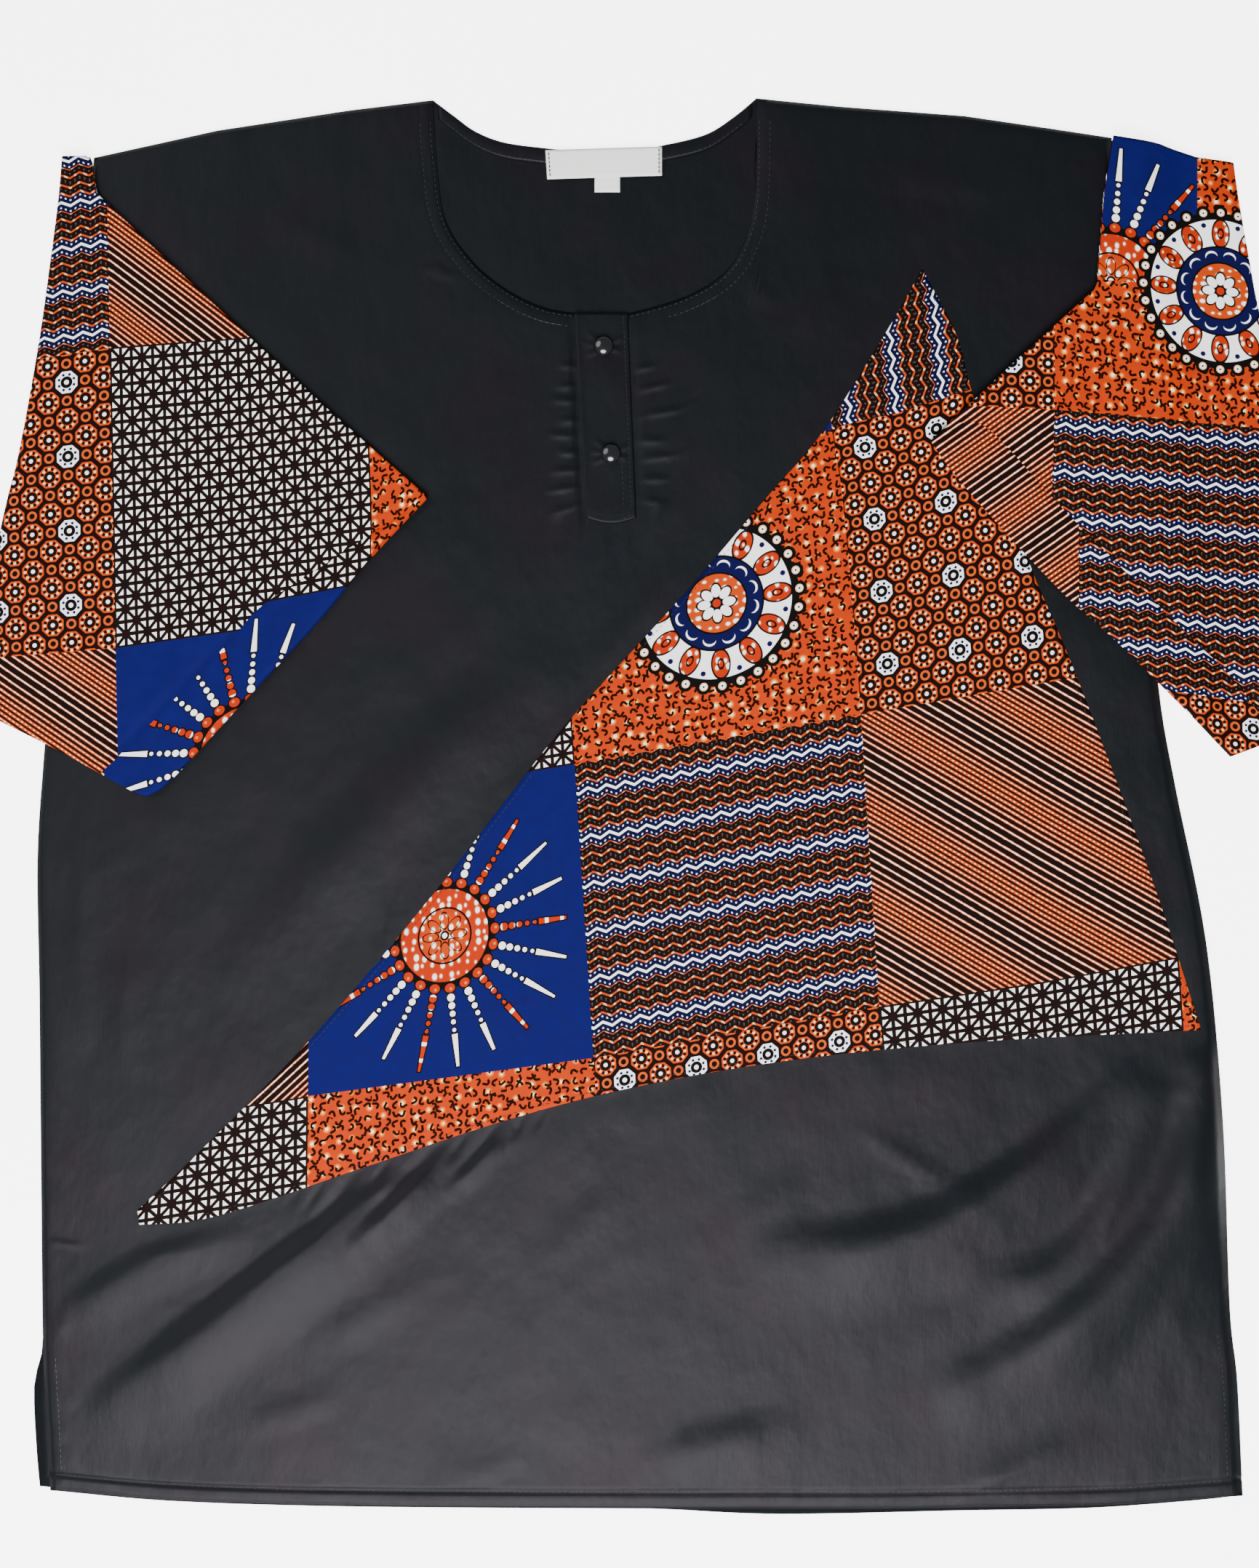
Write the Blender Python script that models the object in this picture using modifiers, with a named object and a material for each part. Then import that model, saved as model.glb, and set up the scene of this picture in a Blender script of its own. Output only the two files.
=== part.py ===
"""Dashiki shirt laid flat on its back, its wide sleeves folded down over the front.

+X runs to the right of the laid shirt, +Y toward the neck and +Z up from the surface
that it lies on. All lengths in the tables are in millimetres.
"""
import math
from collections import namedtuple

import bmesh
import bpy
import numpy as np

MM = 0.001

# Cloth layers
WALL = 1.0
GAP = 0.3
LAYER = WALL + GAP
FRONT_TOP = LAYER + WALL
ON_FRONT = 2 * LAYER
ON_APPLIQUE = 3 * LAYER

Point = namedtuple("Point", "x y")
Fold = namedtuple("Fold", "x0 y0 xm ym x1 y1 height reach")
SleeveCut = namedtuple("SleeveCut", "head cuff outer lower body_side outward rest_height")
Dome = namedtuple("Dome", "radius height")


def table(kind, *rows):
    """Rows of numbers as records with named columns."""
    return [kind(*row) for row in rows]


# Body outline, shoulder corners to hem: x, y
SHOULDERS = table(Point, (-318, 356), (-250, 371), (-178, 382), (-132, 388),
                  (46, 389), (93, 384), (160, 379), (208, 372), (241, 367))
BACK_NECK = table(Point, (-132, 388), (-120, 379), (-109, 371), (-94, 365), (-74, 362),
                  (-50, 360), (-24, 360), (-6, 363), (18, 369), (34, 379), (46, 389))
FRONT_NECK = table(Point, (-132, 379), (-130, 355), (-125, 322), (-110, 299), (-92, 284),
                   (-72, 274), (-53, 270.5), (-38, 269.5), (-22, 271), (8, 280), (29, 293),
                   (40, 311), (45, 335), (46, 377))
LEFT_SIDE = table(Point, (-318, 356), (-326, 275), (-336, 155), (-345, 34), (-349, -28),
                  (-348, -102), (-347, -205), (-346, -296), (-344, -337), (-342, -376))
RIGHT_SIDE = table(Point, (241, 367), (248, 275), (258, 163), (267, 64), (276, 11),
                   (293, -75), (302, -172), (306, -276), (310, -315), (313, -379))
BACK_LEFT_SIDE = table(Point, (-318, 356), (-326, 275), (-336, 155), (-345, 34),
                       (-348, -102), (-346, -282), (-351, -316), (-350, -350), (-348, -374))
FRONT_HEM = table(Point, (-342, -376), (-273, -382), (-171, -385), (-24, -386), (50, -386),
                  (120, -386), (180, -385), (240, -384), (285, -381), (313, -379))
BACK_HEM = table(Point, (-348, -374), (-273, -380), (-171, -384), (-24, -386), (42, -389),
                 (90, -389), (153, -387.5), (228, -386), (285, -382), (313, -379))

# Wax-print wedge on the front: x, y
APPLIQUE_UPPER = table(Point, (137, 295), (117, 260), (82, 205), (52, 170), (5, 115),
                       (-56, 48), (-94, 0), (-132, -49), (-196, -125), (-262, -192),
                       (-294, -222))
APPLIQUE_LOWER = table(Point, (-293, -230), (-264, -228), (-233, -220), (-171, -199),
                       (-96, -174), (-24, -155), (62, -140), (160, -130), (290, -123))
APPLIQUE_RIGHT = table(Point, (290, -123), (266, -49), (237, 31), (214, 90), (197, 130),
                       (181, 179), (164, 228), (156, 258), (137, 295))

# Sleeves as they lie: x, y. The head runs from the outer fold to the underarm.
LEFT_HEAD = table(Point, (-335, 356), (-319, 356), (-316, 336), (-274, 296), (-231, 256),
                  (-182, 211), (-134, 169))
LEFT_LOWER = table(Point, (-134, 169), (-165, 136), (-196, 99), (-237, 55), (-275, 14),
                   (-288, 5))
LEFT_CUFF = table(Point, (-390, 57), (-370, 47), (-334, 29), (-300, 10), (-288, 5))
LEFT_OUTER = table(Point, (-335, 356), (-337, 333), (-341, 302), (-348, 253), (-359, 194),
                   (-368, 158), (-390, 57))
RIGHT_HEAD = table(Point, (308, 353), (287, 356), (266, 363), (241, 367), (236, 335),
                   (232, 284), (190, 246), (141, 200))
RIGHT_LOWER = table(Point, (141, 200), (153, 183), (180, 152), (215, 115), (246, 87),
                    (299, 34), (306, 27))
RIGHT_CUFF = table(Point, (390, 60), (356, 46), (322, 33), (306, 27))
RIGHT_OUTER = table(Point, (308, 353), (311, 332), (317, 298), (322, 272), (336, 219),
                    (358, 147), (390, 60))

# Folds of the black front: start, middle and end of the crest, its rise, its half width
FRONT_FOLDS = table(
    Fold,
    (-300, -318, -235, -268, -160, -212, 7.0, 26),
    (-334, -283, -294, -255, -245, -232, 3.5, 17),
    (-168, -234, -150, -216, -134, -198, 3.0, 14),
    (-118, -210, -103, -195, -88, -182, 2.0, 13),
    (-222, -76, -152, 6, -86, 70, 5.0, 24),
    (76, -237, 150, -222, 226, -170, 5.0, 24),
    (180, -244, 224, -234, 258, -158, 4.0, 19),
    (294, -181, 255, -255, 168, -336, 7.0, 26),
    (160, -378, 190, -362, 230, -352, 3.0, 19),
    (292, -237, 280, -273, 262, -305, 3.5, 17),
    (-8, -358, 24, -348, 58, -340, 2.5, 21),
)
FOLD_FADE = 0.3
SEAM_CALM = 16.0

# Gathers of the black cloth where it is eased onto the lower edge of the print
GATHER_COUNT = 12
GATHER_SHARES = (0.225, 0.327)
GATHER_RISE = 1.2
GATHER_TOP = 3.0
GATHER_FULL = 8.0
GATHER_END = 28.0
SEAM_CLEAR = 1.5

# Sleeve tube, flattened
SLEEVE_RISE = 3.3
FOLD_PUFF = 0.9
FOLD_PUFF_REACH = 14.0
DROP_START = 14.0
DROP_END = 36.0
TUBE_ACROSS = 14
TUBE_ALONG = 16
TUBE_EDGE_ANGLES = (50.0, 0.0, -50.0)

# Neck and placket
FACING_DEPTH = 8.0
FACING_INSET = 0.5
FACING_ENDS = (-129.0, 43.5)
LABEL = table(Point, (-70, 360), (-6, 362), (-6, 346), (-69, 344))
SIZE_TAB = table(Point, (-43, 350), (-29, 350), (-29, 337), (-43, 337))
PLACKET_LEFT = table(Point, (-54, 270.5), (-50, 202), (-47.5, 157))
PLACKET_RIGHT = table(Point, (-24.5, 270.5), (-22.5, 218), (-20, 159))
PLACKET_SAG = 3.0
SLOT_INSET = 3.0
UNDER_BAND_INSET = 3.5
BAND_END_INSET = 6.0
BUTTON_CENTRES = table(Point, (-38, 252), (-34, 193))
BUTTON = Dome(5.4, 4.0)
BUTTON_RIM = 0.9

# Mesh density
FRONT_COLUMNS = (13, 2 * GATHER_COUNT, 32)
FRONT_ROWS_BELOW = 15
SEAM_ROWS = (0.0, 0.015, 0.04, 0.08, 0.14)
UPPER_ROW_STOPS = (0.0, 0.22, 0.52, 1.0)
UPPER_ROW_COUNTS = (8, 15, 6)
BACK_COLUMN_STOPS = (0.0, 0.333, 0.651, 1.0)
BACK_COLUMN_COUNTS = (6, 12, 6)
BACK_ROWS = 18
CUTTER_BOTTOM = -4.0
CUTTER_DEPTH = 20.0
NECK_OVERRUN = 12.0
BUTTON_STEPS = 24

SATIN = (0.018, 0.019, 0.023, 1.0)
PRINT = (0.78, 0.22, 0.06, 1.0)
WHITE = (0.86, 0.86, 0.84, 1.0)
BUTTON_BLACK = (0.01, 0.01, 0.012, 1.0)


def clear_scene():
    """Start from an empty scene."""
    for old in list(bpy.data.objects):
        bpy.data.objects.remove(old, do_unlink=True)


def new_collection(name):
    """A collection linked to the scene."""
    collection = bpy.data.collections.new(name)
    bpy.context.scene.collection.children.link(collection)
    return collection


def finish_colour(name, colour, roughness, metallic=0.0):
    """A Principled material."""
    material = bpy.data.materials.new(name)
    material.use_nodes = True
    shader = material.node_tree.nodes["Principled BSDF"]
    shader.inputs["Base Color"].default_value = colour
    shader.inputs["Roughness"].default_value = roughness
    shader.inputs["Metallic"].default_value = metallic
    return material


def smoothstep(value):
    """A soft ramp from 0 to 1."""
    share = min(1.0, max(0.0, value))
    return share * share * (3.0 - 2.0 * share)


def smooth_line(points, steps=8):
    """A dense smooth curve through the points of a table."""
    knots = np.array([(p.x, p.y) for p in points], dtype=float)
    padded = np.vstack([2 * knots[0] - knots[1], knots, 2 * knots[-1] - knots[-2]])
    samples = []
    for i in range(len(knots) - 1):
        a, b, c, d = padded[i:i + 4]
        for t in np.linspace(0.0, 1.0, steps, endpoint=False):
            square, cube = t * t, t * t * t
            samples.append(0.5 * (2 * b + (c - a) * t + (2 * a - 5 * b + 4 * c - d) * square
                                  + (3 * b - a - 3 * c + d) * cube))
    samples.append(knots[-1])
    return np.array(samples)


def plain_line(points):
    """The points of a table joined by straight runs."""
    return np.array([(p.x, p.y) for p in points], dtype=float)


def point_at(line, share):
    """The point that lies a share of the way along a line."""
    steps = np.linalg.norm(np.diff(line, axis=0), axis=1)
    lengths = np.concatenate([[0.0], np.cumsum(steps)]) / steps.sum()
    return np.array([np.interp(share, lengths, line[:, 0]),
                     np.interp(share, lengths, line[:, 1])])


def x_at(line, y):
    """Where a line that runs downward crosses a height."""
    return float(np.interp(-y, -line[:, 1], line[:, 0]))


def y_at(line, x):
    """The height of a line that runs to the right."""
    return float(np.interp(x, line[:, 0], line[:, 1]))


def panel_point(across, up, lines, left, right):
    """A point of a panel: between two of its cross lines in y, between its sides in x."""
    row = min(int(up), len(lines) - 2)
    share = up - row
    low, high = lines[row], lines[row + 1]
    x = 0.0
    for _ in range(5):
        y = (1.0 - share) * y_at(low, x) + share * y_at(high, x)
        x = (1.0 - across) * x_at(left, y) + across * x_at(right, y)
    return x, y


def stops(bounds, counts):
    """Shares between the bounds, each stretch cut into its count of equal steps."""
    shares = [bounds[0]]
    for low, high, count in zip(bounds, bounds[1:], counts):
        shares += [low + (high - low) * (k + 1) / count for k in range(count)]
    return shares


def fold_crest(fold, steps=14):
    """Points along a fold's crest, a curve through its three table points."""
    start, middle, end = (np.array(p, dtype=float) for p in (
        (fold.x0, fold.y0), (fold.xm, fold.ym), (fold.x1, fold.y1)))
    control = 2.0 * middle - 0.5 * (start + end)
    shares = np.linspace(0.0, 1.0, steps)[:, None]
    return (1 - shares) ** 2 * start + 2 * shares * (1 - shares) * control + shares ** 2 * end


def fold_rise(x, y, fold, crest):
    """How far one fold lifts the cloth at a point."""
    away = np.linalg.norm(crest - (x, y), axis=1)
    nearest = int(away.argmin())
    if away[nearest] >= fold.reach:
        return 0.0
    share = nearest / (len(crest) - 1)
    fade = smoothstep(share / FOLD_FADE) * smoothstep((1.0 - share) / FOLD_FADE)
    across = math.cos(0.5 * math.pi * away[nearest] / fold.reach) ** 2
    return fold.height * across * (0.35 + 0.65 * fade)


def gather_rise(across, depth):
    """Rise of the gathers at a share of the width and a depth below the print's edge."""
    first, last = GATHER_SHARES
    if not first < across < last:
        return 0.0
    wave = 0.5 - 0.5 * math.cos(2 * math.pi * GATHER_COUNT * (across - first) / (last - first))
    fade = smoothstep(depth / GATHER_TOP)
    fade *= 1.0 - smoothstep((depth - GATHER_FULL) / (GATHER_END - GATHER_FULL))
    return GATHER_RISE * wave * fade


def add_object(name, mesh, material, collection):
    """An object with its material, in its collection."""
    item = bpy.data.objects.new(name, mesh)
    if material is not None:
        mesh.materials.append(material)
    collection.objects.link(item)
    return item


def add_wall(item):
    """Give an open cloth surface its thickness, inward from the outer face."""
    wall = item.modifiers.new("cloth wall", "SOLIDIFY")
    wall.thickness = WALL * MM
    wall.offset = -1.0
    wall.use_even_offset = True
    return item


def mapped_sheet(columns, rows, place):
    """A mesh made from a grid whose points are moved to place(column, row)."""
    sheet = bmesh.new()
    bmesh.ops.create_grid(sheet, x_segments=columns, y_segments=rows, size=0.5)
    for vertex in sheet.verts:
        column = round((vertex.co.x + 0.5) * columns)
        row = round((vertex.co.y + 0.5) * rows)
        vertex.co = [value * MM for value in place(column, row)]
    return sheet


def mesh_from(sheet, name):
    """A mesh datablock from a bmesh."""
    mesh = bpy.data.meshes.new(name)
    sheet.to_mesh(mesh)
    sheet.free()
    mesh.shade_smooth()
    return mesh


def flat_piece(name, outline, bottom, depth, material, collection):
    """A flat cut piece: an outline filled and given its depth."""
    curve = bpy.data.curves.new(name, "CURVE")
    curve.dimensions = "2D"
    curve.fill_mode = "BOTH"
    curve.extrude = 0.5 * depth * MM
    spline = curve.splines.new("POLY")
    spline.points.add(len(outline) - 1)
    for point, (x, y) in zip(spline.points, outline):
        point.co = (x * MM, y * MM, 0.0, 1.0)
    spline.use_cyclic_u = True
    pattern = bpy.data.objects.new(name + "_outline", curve)
    pattern.location.z = (bottom + 0.5 * depth) * MM
    collection.objects.link(pattern)
    bpy.context.view_layer.update()
    graph = bpy.context.evaluated_depsgraph_get()
    mesh = bpy.data.meshes.new_from_object(pattern.evaluated_get(graph))
    mesh.name = name
    welded = bmesh.new()
    welded.from_mesh(mesh)
    bmesh.ops.remove_doubles(welded, verts=welded.verts, dist=0.00001)
    bmesh.ops.recalc_face_normals(welded, faces=welded.faces)
    welded.to_mesh(mesh)
    welded.free()
    item = add_object(name, mesh, material, collection)
    item.matrix_world = pattern.matrix_world.copy()
    bpy.data.objects.remove(pattern, do_unlink=True)
    return item


def make_cutter(name, outline, collection):
    """A prism that cuts through the front."""
    cutter = flat_piece(name, outline, CUTTER_BOTTOM, CUTTER_DEPTH, None, collection)
    cutter.hide_render = True
    cutter.display_type = "WIRE"
    return cutter


def cut(item, cutter):
    """Take the cutter's shape out of a piece."""
    opening = item.modifiers.new(cutter.name, "BOOLEAN")
    opening.operation = "DIFFERENCE"
    opening.solver = "EXACT"
    opening.object = cutter


def build_back_panel(material, collection):
    """Back panel, flat on the surface, with the shallow neck curve in its top edge."""
    top_edge = plain_line(SHOULDERS[:3] + BACK_NECK + SHOULDERS[5:])
    lines = [smooth_line(BACK_HEM), top_edge]
    left, right = smooth_line(BACK_LEFT_SIDE), smooth_line(RIGHT_SIDE)
    columns = stops(BACK_COLUMN_STOPS, BACK_COLUMN_COUNTS)

    def place(column, row):
        x, y = panel_point(columns[column], row / BACK_ROWS, lines, left, right)
        return x, y, WALL

    sheet = mapped_sheet(len(columns) - 1, BACK_ROWS, place)
    return add_wall(add_object("back_panel", mesh_from(sheet, "back_panel"),
                               material, collection))


def front_seam_line():
    """Line just under the lower edge of the print, carried on to both sides."""
    edge = smooth_line(APPLIQUE_LOWER)
    left_end = np.array([[-400.0, edge[0, 1] + 4.0]])
    right_end = np.array([[400.0, edge[-1, 1] + 8.0]])
    line = np.vstack([left_end, edge, right_end])
    return line - (0.0, SEAM_CLEAR)


def build_front_panel(material, collection, cutters):
    """Front panel with its folds and gathers, cut for the neck and the placket."""
    seam = front_seam_line()
    lines = [smooth_line(FRONT_HEM), seam, plain_line(SHOULDERS)]
    left, right = smooth_line(LEFT_SIDE), smooth_line(RIGHT_SIDE)
    columns = stops((0.0,) + GATHER_SHARES + (1.0,), FRONT_COLUMNS)
    below = [1.0 - share for share in reversed(SEAM_ROWS)]
    rows = stops((0.0, below[0]), (FRONT_ROWS_BELOW,)) + below[1:]
    rows += [1.0 + share for share in stops(UPPER_ROW_STOPS, UPPER_ROW_COUNTS)[1:]]
    crests = [(fold, fold_crest(fold)) for fold in FRONT_FOLDS]

    def place(column, row):
        across = columns[column]
        x, y = panel_point(across, rows[row], lines, left, right)
        depth = y_at(seam, x) - y
        lift = sum(fold_rise(x, y, fold, crest) for fold, crest in crests)
        lift = lift * smoothstep(abs(depth) / SEAM_CALM) + gather_rise(across, depth)
        return x, y, FRONT_TOP + lift

    sheet = mapped_sheet(len(columns) - 1, len(rows) - 1, place)
    panel = add_wall(add_object("front_panel", mesh_from(sheet, "front_panel"),
                                material, collection))
    neck = smooth_line(FRONT_NECK)
    above = max(p.y for p in SHOULDERS) + NECK_OVERRUN
    neck_outline = [(neck[0, 0], above)] + list(neck) + [(neck[-1, 0], above)]
    cut(panel, make_cutter("neck_cutter", neck_outline, cutters))
    slot = placket_outline(SLOT_INSET, BAND_END_INSET, SLOT_INSET)
    cut(panel, make_cutter("placket_cutter", slot, cutters))
    return panel


def placket_outline(inset, end_inset, overrun):
    """Outline of a placket band, drawn in by the insets; overrun carries its top end up."""
    left, right = plain_line(PLACKET_LEFT), plain_line(PLACKET_RIGHT)
    top = PLACKET_LEFT[0].y + overrun
    bottom = PLACKET_LEFT[-1].y + end_inset
    heights = np.linspace(top, bottom, 5)
    left_edge = [(x_at(left, y) + inset, y) for y in heights]
    right_edge = [(x_at(right, y) - inset, y) for y in heights[::-1]]
    start, end = np.array(left_edge[-1]), np.array(right_edge[0])
    sag = PLACKET_SAG if end_inset == 0 else 0.0
    lower = [start + (end - start) * k / 6 - (0, sag * math.sin(math.pi * k / 6))
             for k in range(1, 6)]
    return left_edge + [tuple(point) for point in lower] + right_edge


def build_placket(materials, collection):
    """Under band in the cut of the front, and the stitched band over it."""
    under = placket_outline(UNDER_BAND_INSET, BAND_END_INSET + GAP, -0.5)
    flat_piece("placket_under", under, LAYER, WALL, materials["placket_under"], collection)
    over = placket_outline(0.0, 0.0, -0.2)
    flat_piece("placket_over", over, ON_FRONT, WALL, materials["placket_over"], collection)


def build_applique(material, collection):
    """Wax-print wedge, flat on the front."""
    outline = []
    for edge, count in ((APPLIQUE_UPPER, 26), (APPLIQUE_LOWER, 22), (APPLIQUE_RIGHT, 18)):
        line = smooth_line(edge)
        outline += [tuple(point_at(line, k / count)) for k in range(count)]
        if edge is APPLIQUE_UPPER:
            outline.append(tuple(line[-1]))
    return flat_piece("front_applique", outline, ON_FRONT, WALL, material, collection)


def build_neck_details(materials, collection):
    """Facing band inside the back neck, with the label over it and the tab below."""
    neck = smooth_line(BACK_NECK)
    across = np.linspace(FACING_ENDS[0], FACING_ENDS[1], 22)
    upper = [(x, y_at(neck, x) - FACING_INSET) for x in across]
    lower = [(x, y - FACING_DEPTH) for x, y in reversed(upper)]
    flat_piece("back_neck_facing", upper + lower, LAYER, WALL,
               materials["back_neck_facing"], collection)
    flat_piece("neck_label", LABEL, ON_FRONT, WALL, materials["neck_label"], collection)
    flat_piece("size_tab", SIZE_TAB, LAYER, WALL, materials["size_tab"], collection)


def sleeve_base(x, y, sleeve, side):
    """Height of the tube's underside: on the body, then down to the surface beyond it."""
    outside = sleeve.outward * (x - x_at(side, y))
    drop = smoothstep((outside - DROP_START) / (DROP_END - DROP_START))
    return sleeve.rest_height * (1.0 - drop)


def build_sleeve(name, sleeve, material, collection):
    """Flattened sleeve tube, open at its head and at its cuff."""
    head, cuff = plain_line(sleeve.head), smooth_line(sleeve.cuff)
    outer, lower = smooth_line(sleeve.outer), smooth_line(sleeve.lower)
    side = smooth_line(sleeve.body_side)
    corners = head[0], head[-1], cuff[0], cuff[-1]

    def spread(across, along):
        """A point of the flat sleeve between its four edges."""
        edges = ((1 - along) * point_at(head, across) + along * point_at(cuff, across)
                 + (1 - across) * point_at(outer, along) + across * point_at(lower, along))
        blend = ((1 - across) * (1 - along) * corners[0] + across * (1 - along) * corners[1]
                 + (1 - across) * along * corners[2] + across * along * corners[3])
        return edges - blend

    shares = [k / TUBE_ACROSS for k in range(1, TUBE_ACROSS)]
    ring = [(0.0, angle, "outer") for angle in reversed(TUBE_EDGE_ANGLES)]
    ring += [(share, 90.0, "flat") for share in shares]
    ring += [(1.0, angle, "lower") for angle in TUBE_EDGE_ANGLES]
    ring += [(share, -90.0, "flat") for share in reversed(shares)]

    def place(column, row):
        across, angle, kind = ring[column % len(ring)]
        along = row / TUBE_ALONG
        width = np.linalg.norm(point_at(outer, along) - point_at(lower, along))
        puff = FOLD_PUFF * math.exp(-((1 - across) * width / FOLD_PUFF_REACH) ** 2)
        radius = 0.5 * (SLEEVE_RISE + puff)
        inset = radius * (1.0 - math.cos(math.radians(angle))) / width
        if kind == "outer":
            across = inset
        if kind == "lower":
            across = 1.0 - inset
        x, y = spread(across, along)
        middle = sleeve_base(x, y, sleeve, side) + radius
        return x, y, middle + radius * math.sin(math.radians(angle))

    tube = mapped_sheet(len(ring), TUBE_ALONG, place)
    bmesh.ops.remove_doubles(tube, verts=tube.verts, dist=0.00002)
    bmesh.ops.recalc_face_normals(tube, faces=tube.faces)
    return add_wall(add_object(name, mesh_from(tube, name), material, collection))


def build_button(name, centre, material, collection):
    """Domed button: half a profile turned about its own axis."""
    profile = bmesh.new()
    base_radius = BUTTON.radius - BUTTON_RIM
    arc = [math.radians(angle) for angle in (90, 72, 54, 36, 18, 0)]
    points = [(BUTTON.radius * math.cos(a),
               BUTTON_RIM + (BUTTON.height - BUTTON_RIM) * math.sin(a)) for a in arc]
    points += [(base_radius, 0.0), (0.0, 0.0)]
    vertices = [profile.verts.new((radius * MM if radius > 1e-6 else 0.0, 0.0, height * MM))
                for radius, height in points]
    for first, second in zip(vertices, vertices[1:]):
        profile.edges.new((first, second))
    button = add_object(name, mesh_from(profile, name), material, collection)
    turn = button.modifiers.new("turned", "SCREW")
    turn.steps = BUTTON_STEPS
    turn.render_steps = BUTTON_STEPS
    turn.use_merge_vertices = True
    turn.merge_threshold = 0.00001
    button.location = (centre.x * MM, centre.y * MM, ON_APPLIQUE * MM)
    return button


def main():
    clear_scene()
    shirt = new_collection("dashiki_shirt")
    cutters = new_collection("cutters")
    satin_pieces = ("back_panel", "front_panel", "back_neck_facing", "placket_under",
                    "placket_over")
    materials = {name: finish_colour(name + "_satin", SATIN, 0.45) for name in satin_pieces}
    for name in ("front_applique", "sleeve_left", "sleeve_right"):
        materials[name] = finish_colour(name + "_print", PRINT, 0.75)
    for name in ("neck_label", "size_tab"):
        materials[name] = finish_colour(name + "_tape", WHITE, 0.6)
    build_back_panel(materials["back_panel"], shirt)
    build_front_panel(materials["front_panel"], shirt, cutters)
    build_applique(materials["front_applique"], shirt)
    build_neck_details(materials, shirt)
    build_placket(materials, shirt)
    left = SleeveCut(LEFT_HEAD, LEFT_CUFF, LEFT_OUTER, LEFT_LOWER, LEFT_SIDE, -1, ON_FRONT)
    right = SleeveCut(RIGHT_HEAD, RIGHT_CUFF, RIGHT_OUTER, RIGHT_LOWER, RIGHT_SIDE, 1,
                      ON_APPLIQUE)
    build_sleeve("sleeve_left", left, materials["sleeve_left"], shirt)
    build_sleeve("sleeve_right", right, materials["sleeve_right"], shirt)
    for name, centre in zip(("button_upper", "button_lower"), BUTTON_CENTRES):
        gloss = finish_colour(name + "_gloss", BUTTON_BLACK, 0.12)
        build_button(name, centre, gloss, shirt)


main()
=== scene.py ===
"""Looks of a dashiki shirt laid flat: black satin body, wax-print sleeves and wedge.

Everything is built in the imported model's frame: +X to the right of the laid shirt, +Y toward
the neck and +Z up. Tables are in millimetres and meshes in metres.
"""
import logging
import math
from dataclasses import dataclass
from enum import Enum
from typing import Callable, Optional, Sequence, Union

import bmesh
import bpy
import numpy as np
from mathutils import Matrix, Vector


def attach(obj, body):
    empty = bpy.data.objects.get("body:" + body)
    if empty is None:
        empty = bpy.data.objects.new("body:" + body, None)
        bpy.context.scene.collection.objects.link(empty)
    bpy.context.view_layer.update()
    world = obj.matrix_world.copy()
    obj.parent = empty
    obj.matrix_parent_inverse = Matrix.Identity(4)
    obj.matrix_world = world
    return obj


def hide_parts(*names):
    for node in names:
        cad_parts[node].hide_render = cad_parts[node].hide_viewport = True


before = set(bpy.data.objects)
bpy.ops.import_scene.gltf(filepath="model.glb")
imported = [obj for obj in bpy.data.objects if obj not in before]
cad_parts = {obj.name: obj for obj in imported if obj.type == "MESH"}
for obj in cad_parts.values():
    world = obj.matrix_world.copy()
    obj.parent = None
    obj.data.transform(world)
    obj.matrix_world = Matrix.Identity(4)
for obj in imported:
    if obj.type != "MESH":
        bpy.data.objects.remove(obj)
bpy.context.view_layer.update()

Array = np.ndarray
Colour = tuple[float, float, float]
Corners = Sequence[tuple[float, float]]
Height = Callable[[Array], Array]
Material = bpy.types.Material
Piece = bpy.types.Object
Place = Callable[[Array, Array], Array]
Sheet = bmesh.types.BMesh

LOG = logging.getLogger("dashiki")
MM = 0.001
MERGE = 0.00002
CELL = 160.0
CRISP = 0.16
CURVE_STEPS = 8

# Heights of the laid cloth, top faces, and the thickness of the front and of a flat sleeve
BACK_TOP = 1.0
FRONT_TOP = 2.3
WEDGE_TOP = 3.15
BAND_TOP = 3.2
THIN = 0.55
SLEEVE_RISE = 3.3

# How far each row of stitches lies from its edge, and how far the front's rows stay off the print
HEM_ROW = 9.0
NECK_ROW = 7.5
EDGE_ROW = 2.6
CUFF_ROW = 14.0
SEAM_CLEAR = 1.5
SEAM_CALM = 16.0

BLACK = (0.0020, 0.0014, 0.0016)
MAROON = (0.0060, 0.0010, 0.0008)
BROWN = (0.0055, 0.0016, 0.0012)
STRIPE_INK = (0.0045, 0.0014, 0.0010)
LATTICE_INK = (0.010, 0.003, 0.002)
ORANGE = (0.40, 0.036, 0.0008)
RING_ORANGE = (0.42, 0.060, 0.006)
SCARLET = (0.34, 0.0165, 0.0006)
HALO = (0.80, 0.22, 0.012)
AMBER = (0.55, 0.15, 0.025)
CREAM = (0.74, 0.42, 0.20)
STRAW = (0.90, 0.74, 0.50)
SAND = (0.88, 0.76, 0.55)
WHITE = (0.88, 0.88, 0.87)
NAVY = (0.0022, 0.0022, 0.036)
DEEP_NAVY = (0.0016, 0.0018, 0.022)
GREY = (0.080, 0.062, 0.058)
SKY_BLUE = ((0.0026, 0.0027, 0.056), (0.0042, 0.0042, 0.074))


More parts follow.
